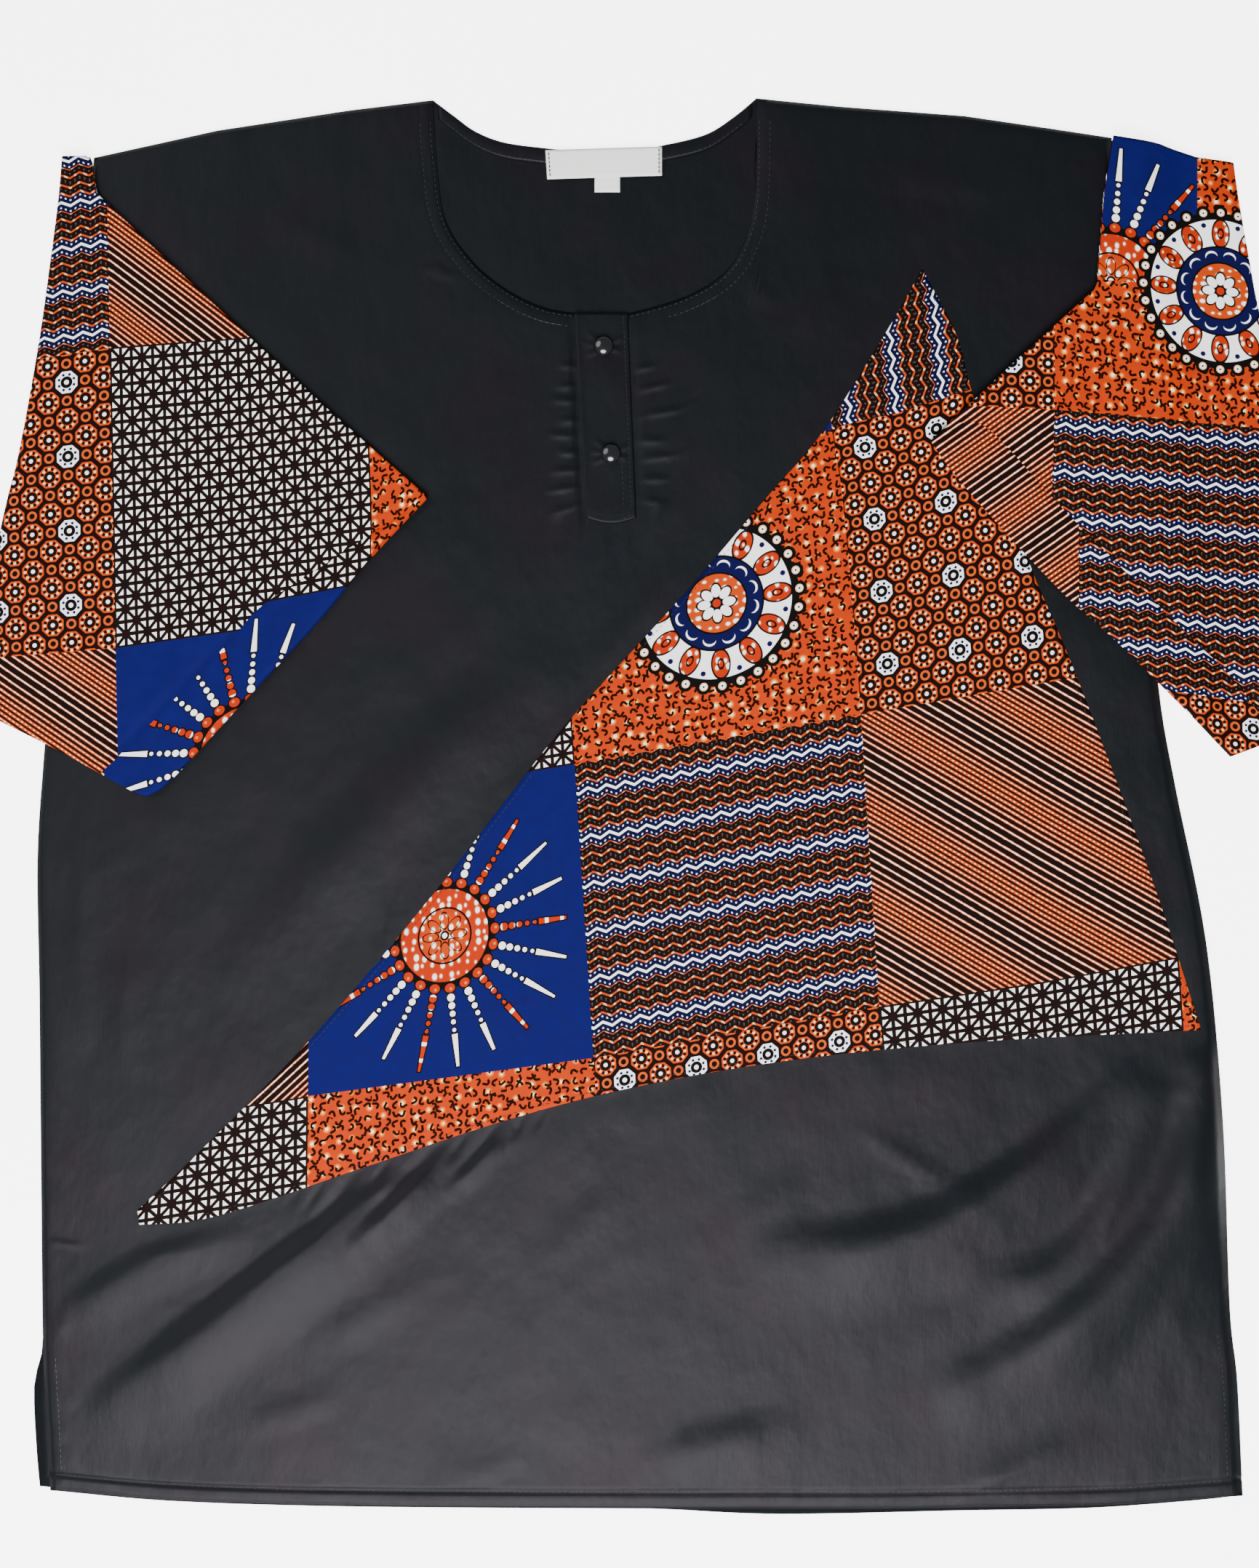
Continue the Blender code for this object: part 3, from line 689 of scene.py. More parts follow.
class Sock:
    """A number socket of a material. Arithmetic on it adds Math nodes, in millimetres."""

    def __init__(self, paint: "Paint", socket: bpy.types.NodeSocket) -> None:
        """Wrap an output socket of a paint's nodes."""
        self.paint, self.socket = paint, socket

    def do(self, operation: str, *others: "Value") -> "Sock":
        """The result of one Math node on this value and the others."""
        values = dict(enumerate((self,) + others))
        return self.paint.out(self.paint.node("ShaderNodeMath", {"operation": operation}, values))

    def __add__(self, other: "Value") -> "Sock":
        """This plus the other."""
        return self.do("ADD", other)

    def __mul__(self, other: "Value") -> "Sock":
        """This times the other."""
        return self.do("MULTIPLY", other)

    def __sub__(self, other: "Value") -> "Sock":
        """This less the other."""
        return self.do("SUBTRACT", other)

    def __rsub__(self, other: float) -> "Sock":
        """The other less this."""
        return self.do("MULTIPLY_ADD", -1.0, other)

    def __truediv__(self, other: "Value") -> "Sock":
        """This divided by the other."""
        return self.do("DIVIDE", other)

    def __abs__(self) -> "Sock":
        """The size of this value."""
        return self.do("ABSOLUTE")

    __radd__, __rmul__ = __add__, __mul__

    def low(self, other: "Value") -> "Sock":
        """The smaller of the two."""
        return self.do("MINIMUM", other)

    def high(self, other: "Value") -> "Sock":
        """The larger of the two."""
        return self.do("MAXIMUM", other)

    def whole(self) -> "Sock":
        """The nearest whole number."""
        return self.do("ROUND")

    def below(self, other: "Value") -> "Sock":
        """1 where this is less than the other, otherwise 0."""
        return self.do("LESS_THAN", other)

    def above(self, other: "Value") -> "Sock":
        """1 where this is more than the other, otherwise 0."""
        return self.do("GREATER_THAN", other)

    def cos(self) -> "Sock":
        """Its cosine."""
        return self.do("COSINE")

    def sin(self) -> "Sock":
        """Its sine."""
        return self.do("SINE")

    def between(self, low: float, high: float) -> "Sock":
        """This value from 0 to 1 stretched to run from low to high."""
        return self * (high - low) + low

    def fold(self, period: float) -> "Sock":
        """Distance to the nearest multiple of the period, with its sign."""
        return self - (self / period).whole() * period

    def inside(self, soft: float = CRISP) -> "Sock":
        """1 inside a shape and 0 outside, from the distance to its edge."""
        return self.paint.out(self.paint.node(
            "ShaderNodeMath", {"operation": "MULTIPLY_ADD", "use_clamp": True},
            {0: self, 1: -1.0 / soft, 2: 0.5}))


Value = Union[Sock, float]
Ink = Union[Sock, Colour]


def span(x: Sock, y: Sock) -> Sock:
    """Length of the vector x, y."""
    return (x * x + y * y).do("SQRT")


def sector(r: Sock, angle: Sock, count: int) -> tuple[Sock, Sock, Sock]:
    """Polar coordinates taken to the nearest of a ring's equal sectors.

    Args:
        r: distance from the middle.
        angle: angle round it.
        count: how many sectors there are.

    Returns:
        The places along and across the sector's axis, and the sector's number.
    """
    step = 2.0 * math.pi / count
    number = (angle / step).whole()
    off = angle - number * step
    return r * off.cos(), r * off.sin(), number


class Paint:
    """The nodes of one finish."""

    def __init__(self, name: str) -> None:
        """Start a material with a Principled shader.

        Args:
            name: its name.
        """
        self.material = bpy.data.materials.new(name)
        self.material.use_nodes = True
        self.tree = self.material.node_tree
        self.shader = self.tree.nodes["Principled BSDF"]

    def node(self, kind: str, settings: dict, values: dict) -> bpy.types.Node:
        """Add a node.

        Args:
            kind: the node's type.
            settings: its properties, set first.
            values: numbers, colours or sockets for its inputs, by name or place.

        Returns:
            The node.
        """
        made = self.tree.nodes.new(kind)
        for name, setting in settings.items():
            setattr(made, name, setting)
        for key, value in values.items():
            self.feed(made.inputs[key], value)
        return made

    def feed(self, target: bpy.types.NodeSocket, value: object) -> None:
        """Link a socket to an input, or set the input's value.

        Args:
            target: the input.
            value: what it gets.
        """
        if isinstance(value, Sock):
            self.tree.links.new(value.socket, target)
        elif isinstance(value, tuple) and target.type == "RGBA":
            target.default_value = value[:3] + (1.0,)
        else:
            target.default_value = value

    def out(self, node: bpy.types.Node, key: Union[str, int] = 0) -> Sock:
        """An output of a node."""
        return Sock(self, node.outputs[key])

    def set(self, **values: object) -> None:
        """Set or link inputs of the shader, their names with _ for the spaces."""
        for name, value in values.items():
            self.feed(self.shader.inputs[name.replace("_", " ")], value)

    def over(self, base: Ink, colour: Ink, mask: Sock) -> Sock:
        """A colour laid over another where the mask is 1."""
        mixed = self.node("ShaderNodeMix", {"data_type": "RGBA"}, {0: mask, 6: base, 7: colour})
        return self.out(mixed, 2)

    def lay(self, base: Ink, *coats: tuple[Ink, Sock, float]) -> Sock:
        """Colours laid one after another over a base.

        Args:
            base: the colour that they start from.
            coats: a colour, the distance to its shape's edge and how soft the edge is.

        Returns:
            The colour that shows.
        """
        for colour, edge, soft in coats:
            base = self.over(base, colour, edge.inside(soft))
        return base

    def object_place(self, scale: Colour = (1.0, 1.0, 1.0)) -> Sock:
        """Object coordinates, scaled."""
        place = self.out(self.node("ShaderNodeTexCoord", {}, {}), "Object")
        return self.out(self.node("ShaderNodeMapping", {}, {"Vector": place, "Scale": scale}))

    def noise(self, vector: Sock, scale: float, detail: float = 2.0) -> Sock:
        """A noise value at a vector."""
        return self.out(self.node("ShaderNodeTexNoise", {}, {"Vector": vector, "Scale": scale,
                                                             "Detail": detail}))

    def bump(self, height: Sock, distance: float, strength: float = 1.0) -> Sock:
        """A normal from a height."""
        return self.out(self.node("ShaderNodeBump", {}, {"Height": height, "Distance": distance,
                                                         "Strength": strength}))

    def threads(self, vector: Sock, pitch: float) -> Sock:
        """Height of a plain weave of the given pitch in metres."""
        parts = self.node("ShaderNodeSeparateXYZ", {}, {0: vector})
        turn = 2.0 * math.pi / pitch
        return (self.out(parts, 0) * turn).sin() * (self.out(parts, 1) * turn).sin() * 0.5 + 0.5

    def flat(self, u: Sock, v: Sock) -> Sock:
        """u and v as one vector."""
        return self.out(self.node("ShaderNodeCombineXYZ", {}, {0: u, 1: v}))


@dataclass(frozen=True)
class Finish:
    """Base of the finishes: each makes one material."""

    name: str

    def material(self) -> Material:
        """Make the finish's material."""
        paint = Paint(self.name)
        self.dress(paint)
        return paint.material

    def dress(self, paint: Paint) -> None:
        """Add the finish's nodes."""
        raise NotImplementedError


@dataclass(frozen=True)
class Satin(Finish):
    """Black satin: a soft broad sheen, fine threads and slight slubs."""

    colour: Colour = (0.0020, 0.0036, 0.0043)
    roughness: tuple[float, float] = (0.36, 0.54)
    specular: float = 0.125

    def dress(self, paint: Paint) -> None:
        """Add the sheen, purplish patches of painted sheen in the colour, the weave and fine
        wrinkles.
        """
        place = paint.object_place()
        cloud = paint.noise(place, 9.0)
        slub = paint.noise(paint.object_place((1.0, 0.06, 1.0)), 900.0, 1.0)
        # Purplish patches laid into the base colour: painted sheen of soft folds on the satin
        patch = paint.noise(place, 16.0)
        red, green, blue = self.colour
        tint = paint.over(self.colour, (1.9 * red, 0.85 * green, 1.05 * blue),
                          ((patch - 0.48) * 5.0).high(0.0).low(1.0))
        grain = paint.noise(place, 620.0, 1.0)
        wrinkle = paint.noise(paint.object_place((1.0, 0.7, 1.0)), 34.0, 4.0)
        relief = wrinkle + paint.threads(place, 0.00055) * 0.02 + slub * 0.03
        paint.set(Base_Color=paint.over(BLACK, tint, cloud * 0.2 + slub * 0.3 + 0.75),
                  Roughness=(cloud * 0.4 + slub * 0.2 + grain * 0.4).between(*self.roughness),
                  Normal=paint.bump(relief, 0.0017, 0.8),
                  Specular_IOR_Level=self.specular, Specular_Tint=(1.0, 0.90, 1.0))


class Artwork:
    """Draws the wax print from its own coordinates.

    Each motif takes u and v, or x and y from its middle, in millimetres and returns its colour.
    """

    def __init__(self, paint: Paint) -> None:
        """Read the print's coordinates, kept on the cloth in metres.

        Args:
            paint: the finish's nodes.
        """
        self.paint = paint
        self.place = paint.out(paint.node("ShaderNodeUVMap", {"uv_map": "fabric"}, {}))
        parts = paint.node("ShaderNodeSeparateXYZ", {}, {0: self.place})
        self.u, self.v = paint.out(parts, 0) * 1000.0, paint.out(parts, 1) * 1000.0

    def draw(self, motif: Motif, sun: tuple[float, float]) -> Sock:
        """The colour of one motif.

        Args:
            motif: which one.
            sun: u and v of the sun's middle.

        Returns:
            The colour.
        """
        u, v = self.u, self.v
        upright = {LATTICE: self.lattice, WORMS: self.worms, OCTAGONS: self.octagons,
                   WAVES: self.waves, STRIPES_DOWN: self.stripes}
        if motif in upright:
            return upright[motif](u, v)
        if motif is WAVES_TURNED:
            return self.waves(v, u)
        if motif is STRIPES_UP:
            return self.stripes(u * -1.0, v)
        blue = self.paint.over(*SKY_BLUE, self.paint.noise(self.place, 120.0))
        return self.sun(u - sun[0], v - sun[1], blue) if motif is SUN else blue

    def lattice(self, u: Sock, v: Sock) -> Sock:
        """White ground crossed by dark lines, with stars where the diagonals meet."""
        pitch = CELL / 24
        x, y = u.fold(pitch), v.fold(pitch)
        a, b = u / pitch, v / pitch
        slant = abs((a + b).fold(2.0)).low(abs((a - b).fold(2.0)))
        even = abs((a.whole() + b.whole()).fold(2.0)).below(0.5)
        dark = (abs(x).low(abs(y)) - 1.06).low(slant * (0.707 * pitch) - 0.96).inside()
        dark = dark.high((span(x, y) - 2.8).inside() * even)
        ink = self.paint.over(BLACK, LATTICE_INK, self.paint.noise(self.paint.flat(u, v), 0.25))
        return self.paint.over(WHITE, ink, dark)

    def scatter(self, u: Sock, v: Sock, pitch: float, shift: float) -> tuple[Sock, ...]:
        """Loose places about a pitch apart.

        Args:
            u: fabric coordinate in millimetres.
            v: the other coordinate.
            pitch: about the distance from one place to the next.
            shift: moves the places, to get other ones.

        Returns:
            x and y from the nearest place in millimetres, and two random values there.
        """
        paint = self.paint
        a, b = (u + shift) / pitch, (v - shift) / pitch
        places = paint.node("ShaderNodeTexVoronoi", {"voronoi_dimensions": "2D"},
                            {"Vector": paint.flat(a, b), "Scale": 1.0, "Randomness": 0.52})
        middle = paint.node("ShaderNodeSeparateXYZ", {}, {0: paint.out(places, "Position")})
        chance = paint.node("ShaderNodeSeparateColor", {}, {0: paint.out(places, "Color")})
        return ((a - paint.out(middle, 0)) * pitch, (b - paint.out(middle, 1)) * pitch,
                paint.out(chance, 0), paint.out(chance, 1))

    def worms(self, u: Sock, v: Sock) -> Sock:
        """Orange-red ground with pale soft dots and small dark hooks."""
        x, y, chance, turn = self.scatter(u, v, 5.0, 3.0)
        cos, sin = (turn * 6.283).cos(), (turn * 6.283).sin()
        a, b = (x * cos + y * sin) * (chance - 0.5).do("SIGN"), y * cos - x * sin
        arc = (abs(span(a, b - 0.5) - 1.25) - 0.68).high(0.2 - b - a * 0.35)
        tail = (abs(a - 1.25) - 0.68).high(abs(b + 0.5) - 1.1)
        x, y, chance, _ = self.scatter(u, v, 8.2, 17.3)
        dot = span(x, y) - (chance + 0.15)
        shade = self.paint.noise(self.paint.flat(u, v), 0.22)
        return self.paint.lay(self.paint.over(SCARLET, ORANGE, shade), (HALO, dot - 0.8, 1.5),
                              (SAND, dot, 0.5), (MAROON, arc.low(tail), 0.2))

    def octagons(self, u: Sock, v: Sock) -> Sock:
        """Octagons and small rings set like a tiled floor, every fourth octagon white."""
        paint, pitch = self.paint, 10.0
        a, b = (u - 16.4) / pitch, (v - 25.0) / pitch
        s, t = ((a + b) * 0.5).whole(), ((a - b) * 0.5).whole()
        i, j = s + t, s - t
        x, y = (a - i) * pitch, (b - j) * pitch
        r = span(x, y)
        tile = abs(x).high(abs(y)).high((abs(x) + abs(y)) * 0.7071) - 5.85
        along, across, number = sector(r, y.do("ARCTAN2", x), 16)
        spot = span(along - 4.3, across)
        odd = abs(number.fold(2.0)).above(0.5)
        white = (abs(i.fold(4.0)) + abs(j.fold(4.0))).below(0.5)
        orange = paint.over(ORANGE, CREAM, (spot - 0.82).inside(0.35) * (1.0 - odd))
        orange = paint.over(orange, MAROON, (spot - 0.9).inside(0.3) * odd)
        orange = paint.lay(orange, (BROWN, r - 3.1, CRISP), (WHITE, r - 1.12, 0.3))
        pale = paint.over(WHITE, NAVY, (spot - 0.78).inside(0.25) * odd)
        pale = paint.lay(pale, (BLACK, abs(r - 2.25) - 0.95, CRISP))
        s, t = ((a - 1.0 + b) * 0.5).whole(), ((a - 1.0 - b) * 0.5).whole()
        ring = span((a - s - t - 1.0) * pitch, (b - s + t) * pitch)
        return paint.lay(MAROON, (RING_ORANGE, abs(ring - 2.1) - 0.62, CRISP),
                         (paint.over(orange, pale, white), tile, CRISP))

    def waves(self, u: Sock, v: Sock) -> Sock:
        """Zigzag bands: navy with a white zigzag, then fine orange zigzags on brown."""
        paint = self.paint
        band = (v + abs(u.fold(10.4)) * 0.52).fold(25.5)
        fine, dots = (band - 12.75).fold(4.95), u.fold(2.6)
        line = abs((band - 10.25).fold(4.95)) - 0.56
        thread = paint.lay(ORANGE, (CREAM, abs((u + v * 0.35).fold(5.2)) - 0.7, 0.6))
        brown = paint.over(BROWN, GREY, (span(dots, fine) - 0.42).inside(0.25) * 0.8)
        navy = paint.lay(DEEP_NAVY, (WHITE, span(dots, abs(band) - 3.15) - 0.46, 0.3),
                         (WHITE, abs(band) - 0.78, 0.2))
        return paint.lay(brown, (thread, line, 0.2), (navy, abs(band) - 4.7, 0.2))

    def stripes(self, u: Sock, v: Sock) -> Sock:
        """Slanting lines that swell and thin, orange and cream with white dashes."""
        turn, pitch = math.radians(38.0), 3.1
        across = u * math.sin(turn) + v * math.cos(turn)
        along = u * math.cos(turn) - v * math.sin(turn)
        turns = across * (2.0 * math.pi / 41.0)
        swell = turns.cos() * 0.5 + 0.5
        crowded = across + turns.sin() * 1.6
        number = (crowded / pitch).whole()
        waver = self.paint.noise(self.paint.flat(u, v), 0.3)
        middle = abs(crowded - number * pitch) + (waver - 0.5) * 0.5
        dash = (abs((along + number * 1.35).fold(2.7)) - 0.64).inside(0.5)
        dash = dash * swell.between(0.25, 1.0)
        pale = (dash + 1.0 - swell).low(1.0) * (middle - 0.25).inside(0.25)
        thread = self.paint.over(ORANGE, STRAW, pale)
        return self.paint.lay(STRIPE_INK, (thread, middle - (swell * 0.50 + 0.42), 0.25))

    def spots(self, x: Sock, y: Sock, base: Ink) -> Sock:
        """White spots with soft edges on a base.

        Args:
            x: coordinate from the middle in millimetres.
            y: the other coordinate.
            base: the colour under them.

        Returns:
            The colour.
        """
        a, b, chance, _ = self.scatter(x, y, 5.2, 40.0)
        spot = span(a, b * 0.75) - (chance * 0.95 + 0.45)
        warm = self.paint.over(base, AMBER, (spot - 0.4).inside(0.8) * 0.6)
        return self.paint.lay(warm, (WHITE, spot, 0.5))

    def sun(self, x: Sock, y: Sock, blue: Sock) -> Sock:
        """A spotted disc with a rosette, a ring of beads and beaded rays round it.

        Args:
            x: coordinate from the middle in millimetres.
            y: the other coordinate.
            blue: the ground's colour.

        Returns:
            The colour.
        """
        paint = self.paint
        r, angle = span(x, y), y.do("ARCTAN2", x)
        along, across, ray = sector(r, angle, 21)
        tint = paint.over(WHITE, SCARLET,
                          abs(ray.fold(3.0)).below(0.5) * along.fold(9.0).above(-2.4))
        bead = ((along - 34.6) / 4.5).whole().high(0.0).low(4.0)
        beads = span(along - (bead * 4.5 + 34.6), across) - (2.15 - bead * 0.27)
        tip = abs(ray.fold(4.0)) * 1.8 + 71.0
        spike = (abs(across) - (1.6 - (along - 55.5) * 0.05)).high(54.9 - along).high(along - tip)
        shape = beads.low(spike)
        hearts = span(along - 29.2, across * 0.86) - 2.5
        colour = paint.lay(
            blue, (BLACK, shape - 0.75, 0.25), (tint, shape, 0.25), (BLACK, r - 29.6, 0.3),
            (BLACK, hearts - 0.7, 0.3), (SCARLET, hearts, 0.3),
            (AMBER, span(along - 29.8, across - 0.5) - 0.8, 0.5))
        disc = self.spots(x, y, paint.lay(SCARLET, (ORANGE, r - 13.0, 8.0)))
        along, across, _ = sector(r, angle, 8)
        petal = span(along - 8.2, across * 1.9) - 4.6
        disc = paint.lay(disc, (BLACK, abs(petal) - 0.42, CRISP),
                         (BLACK, abs(r - 15.2) - 0.5, CRISP), (BLACK, r - 2.6, CRISP),
                         (WHITE, r - 1.5, 0.3))
        return paint.lay(colour, (disc, r - 25.4, 0.3))

    def rosette(self, ground: Sock, u: float, v: float, radius: float) -> Sock:
        """A round medallion of petals, rings and dots.

        Args:
            ground: the colour round it.
            u: fabric coordinate of its middle.
            v: the other coordinate.
            radius: its radius in millimetres.

        Returns:
            The colour.
        """
        x, y = (self.u - u) * (50.0 / radius), (self.v - v) * (50.0 / radius)
        r, angle = span(x, y), y.do("ARCTAN2", x)
        bead_x, bead_y, _ = sector(r, angle, 28)
        wide_x, wide_y, _ = sector(r, angle, 12)
        gap_x, gap_y, _ = sector(r, angle + math.pi / 12.0, 12)
        leaf_x, leaf_y, _ = sector(r, angle, 8)
        bead = span(bead_x - 46.6, bead_y)
        rim = (span(bead_x - 46.8, bead_y) - 4.1).low(r - 46.5)
        petal = span((wide_x - 34.2) * 0.62, wide_y)
        crescent = (span(gap_x - 21.2, gap_y * 0.8) - 2.9).high(
            3.0 - span(gap_x - 19.9, gap_y * 0.8))
        leaf = span((leaf_x - 7.0) * 0.7, leaf_y)
        return self.paint.lay(
            ground, (BLACK, rim, 0.3), (CREAM, bead - 2.3, 0.3), (WHITE, bead - 1.7, 0.4),
            (BLACK, bead - 0.6, 0.25), (WHITE, r - 42.2, 0.3), (BLACK, petal - 5.6, 0.3),
            (self.spots(x, y, SCARLET), petal - 4.7, 0.3), (BLACK, abs(petal - 1.6) - 0.4, 0.3),
            (NAVY, span(gap_x - 39.4, gap_y) - 1.5, 0.3), (BLACK, r - 26.8, 0.3),
            (NAVY, r - 25.6, 0.3), (WHITE, crescent, 0.3), (BLACK, r - 17.4, 0.3),
            (self.spots(y, x, ORANGE), r - 16.3, 0.3), (BLACK, leaf - 3.3, 0.3),
            (WHITE, leaf - 2.5, 0.3), (BLACK, r - 3.4, 0.3), (SCARLET, r - 2.3, 0.3))


@dataclass(frozen=True)
class PrintedCotton(Finish):
    """One motif of the wax print on a fine matte cotton."""

    motif: Motif
    sun_centre: tuple[float, float] = (80.0, 80.0)
    medallion: Optional[tuple[float, float, float]] = None

    def dress(self, paint: Paint) -> None:
        """Draw the motif, with a little unevenness of the ink and a fine weave."""
        art = Artwork(paint)
        colour = art.draw(self.motif, self.sun_centre)
        if self.medallion:
            colour = art.rosette(colour, *self.medallion)
        faded = paint.noise(art.place, 60.0, 3.0)
        ink = paint.node("ShaderNodeHueSaturation", {},
                         {"Color": colour, "Value": faded.between(0.88, 1.10)})
        relief = paint.threads(art.place, 0.0007) + faded * 0.5
        paint.set(Base_Color=paint.out(ink), Roughness=faded.between(0.66, 0.82),
                  Normal=paint.bump(relief, 0.00005, 0.55), Specular_IOR_Level=0.05)


@dataclass(frozen=True)
class Tape(Finish):
    """Woven white tape with a fine satin rib."""

    colour: Colour = (0.80, 0.80, 0.78)

    def dress(self, paint: Paint) -> None:
        """Add the rib and a faint change of tone."""
        place = paint.object_place()
        cloud, rib = paint.noise(place, 60.0), paint.threads(place, 0.0005)
        tone = paint.over(tuple(0.9 * c for c in self.colour), self.colour,
                          cloud * 0.5 + rib * 0.5)
        paint.set(Base_Color=tone, Roughness=cloud.between(0.48, 0.62),
                  Normal=paint.bump(rib, 0.00005, 0.6), Specular_IOR_Level=0.4)


@dataclass(frozen=True)
class Gloss(Finish):
    """Polished black plastic of the buttons, with faint handling marks."""

    def dress(self, paint: Paint) -> None:
        """Add the polish and its marks."""
        marks = paint.noise(paint.object_place(), 700.0, 4.0)
        paint.set(Base_Color=paint.over((0.002, 0.002, 0.003), (0.005, 0.005, 0.006), marks),
                  Roughness=marks.between(0.10, 0.22), Normal=paint.bump(marks, 0.00001, 0.3),
                  Coat_Weight=0.25, Coat_Roughness=0.12)


@dataclass(frozen=True)
class Thread(Finish):
    """Sewing thread with its twist."""

    colour: Colour

    def dress(self, paint: Paint) -> None:
        """Add the twist."""
        twist = paint.noise(paint.object_place(), 2500.0, 1.0)
        tone = paint.over(tuple(0.7 * c for c in self.colour), self.colour, twist)
        paint.set(Base_Color=tone, Roughness=twist.between(0.4, 0.6),
                  Normal=paint.bump(twist, 0.00005, 0.5), Specular_IOR_Level=0.5)


@dataclass(frozen=True)
class PaleFloor(Finish):
    """Plain pale floor."""

    name: str = "pale_floor"

    def dress(self, paint: Paint) -> None:
        """Add a faint cloudiness and a glow that keeps the floor as pale as in the photo."""
        cloud = paint.noise(paint.object_place(), 3.0, 4.0)
        tone = paint.over((0.80, 0.81, 0.80), (0.86, 0.87, 0.86), cloud)
        paint.set(Base_Color=tone, Roughness=cloud.between(0.6, 0.8), Specular_IOR_Level=0.2,
                  Emission_Color=tone, Emission_Strength=4.8)


FRONT_SATIN = Satin("black_satin_front")
# A darker copy of the front satin for the neck facing and the under band: painted shade of the
# pieces that lie inside and under
SHADED_INNER_SATIN = Satin("black_satin_facing", (0.0019, 0.0030, 0.0038))


class Workroom:
    """Makes objects from meshes and hands out finishes, each made once."""

    def __init__(self) -> None:
        """Start with no finishes made."""
        self.made: dict[str, Material] = {}

    def finish(self, finish: Finish) -> Material:
        """The material of a finish."""
        if finish.name not in self.made:
            self.made[finish.name] = finish.material()
        return self.made[finish.name]

    def piece(self, sheet: Sheet, name: str, finishes: Sequence[Finish], slot: str,
              stands_for: Sequence[str] = (), wall: Optional[float] = None,
              even: bool = True) -> Piece:
        """Make a finished piece of a mesh.

        Args:
            sheet: its mesh, which is freed.
            name: the piece's name.
            finishes: its finishes, in the order of the faces' indices.
            slot: not used.
            stands_for: the CAD nodes that it replaces.
            wall: cloth thickness in millimetres, under the face.
            even: whether the thickness is kept even round bends.

        Returns:
            The piece, riding on the shirt.
        """
        mesh = bpy.data.meshes.new(name)
        sheet.to_mesh(mesh)
        sheet.free()
        mesh.shade_smooth()
        for finish in finishes:
            mesh.materials.append(self.finish(finish))
        made = bpy.data.objects.new(name, mesh)
        bpy.context.scene.collection.objects.link(made)
        if wall:
            thick = made.modifiers.new("cloth thickness", "SOLIDIFY")
            thick.thickness = wall * MM
            thick.offset = -1.0
            thick.use_even_offset = even
        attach(made, "root")
        if stands_for:
            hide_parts(*stands_for)
        LOG.info("%s: %d faces", name, len(mesh.polygons))
        return made


def laid_grid(columns: int, rows: int, place: Place) -> Sheet:
    """A grid whose points are moved to place(column, row), in millimetres.

    Args:
        columns: squares across.
        rows: squares up.
        place: gives one row of x, y and z for each column and row.

    Returns:
        The moved grid.
    """
    sheet = bmesh.new()
    bmesh.ops.create_grid(sheet, x_segments=columns, y_segments=rows, size=0.5)
    flat = np.array([vertex.co[:2] for vertex in sheet.verts]) + 0.5
    column, row = np.rint(flat * (columns, rows)).astype(int).T
    for vertex, spot in zip(sheet.verts, place(column, row) * MM):
        vertex.co = spot
    return sheet


def shares(*runs: tuple[float, int]) -> Array:
    """Shares from 0 up, run by run: each run ends at its share after its count of steps.

    Args:
        runs: where each run ends, and its count.

    Returns:
        The shares.
    """
    found = [0.0]
    for end, count in runs:
        start = found[-1]
        found += [start + (end - start) * (k + 1) / count for k in range(count)]
    return np.array(found)


def cut_cells(sheet: Sheet, number: int, layout: Layout, fabric: object) -> None:
    """Cut one band of a piece along its printed squares.

    Args:
        sheet: the mesh.
        number: the band's number.
        layout: where its squares lie.
        fabric: the point layer of the band's fabric coordinates.
    """
    band_of = sheet.faces.layers.int["band"]
    for vertex in sheet.verts:
        vertex.co = vertex[fabric]
    for axis in (0, 1):
        own = [v.co[axis] / MM for f in sheet.faces if f[band_of] == number for v in f.verts]
        for place in layout.cuts(axis, min(own), max(own)):
            faces = [f for f in sheet.faces if f[band_of] == number]
            parts = set(faces)
            for face in faces:
                parts.update(face.edges)
                parts.update(face.verts)
            spot, normal = Vector((0, 0, 0)), Vector((0, 0, 0))
            spot[axis], normal[axis] = place * MM, 1.0
            bmesh.ops.bisect_plane(sheet, geom=list(parts), dist=MERGE, plane_co=spot,
                                   plane_no=normal)


def print_cells(sheet: Sheet, bands: Sequence[Layout]) -> list[Motif]:
    """Cut a piece along its printed squares and give each face its motif and coordinates.

    The cuts are made with the mesh opened out in fabric coordinates, so that each is a
    straight plane, and the points go back to where they lie afterwards.

    Args:
        sheet: the laid mesh, with a face layer "band" and a point layer for each band.
        bands: the layout of each band.

    Returns:
        The motifs in the order of the faces' material indices.
    """
    band_of = sheet.faces.layers.int["band"]
    laid = sheet.verts.layers.float_vector.new("laid")
    for vertex in sheet.verts:
        vertex[laid] = vertex.co
    for number, layout in enumerate(bands):
        cut_cells(sheet, number, layout, sheet.verts.layers.float_vector[f"fabric_{number}"])
    laid = sheet.verts.layers.float_vector["laid"]
    for vertex in sheet.verts:
        vertex.co = vertex[laid]
    uv = sheet.loops.layers.uv.new("fabric")
    found: list[Motif] = []
    for face in sheet.faces:
        number = face[band_of]
        fabric = sheet.verts.layers.float_vector[f"fabric_{number}"]
        centre = sum((v[fabric] for v in face.verts), Vector((0, 0, 0))) / len(face.verts)
        motif = bands[number].motif(centre.x / MM, centre.y / MM)
        if motif not in found:
            found.append(motif)
        face.material_index = found.index(motif)
        for loop in face.loops:
            loop[uv].uv = loop.vert[fabric][:2]
    return found


def set_fabric(sheet: Sheet, number: int, fabric: Array) -> None:
    """Keep a band's fabric coordinates in millimetres as a point layer in metres."""
    layer = sheet.verts.layers.float_vector.new(f"fabric_{number}")
    for vertex, (u, v) in zip(sheet.verts, fabric * MM):
        vertex[layer] = (u, v, 0.0)


def flat_points(sheet: Sheet) -> Array:
    """x and y of a mesh's points in millimetres."""
    return np.array([vertex.co[:2] for vertex in sheet.verts]) / MM


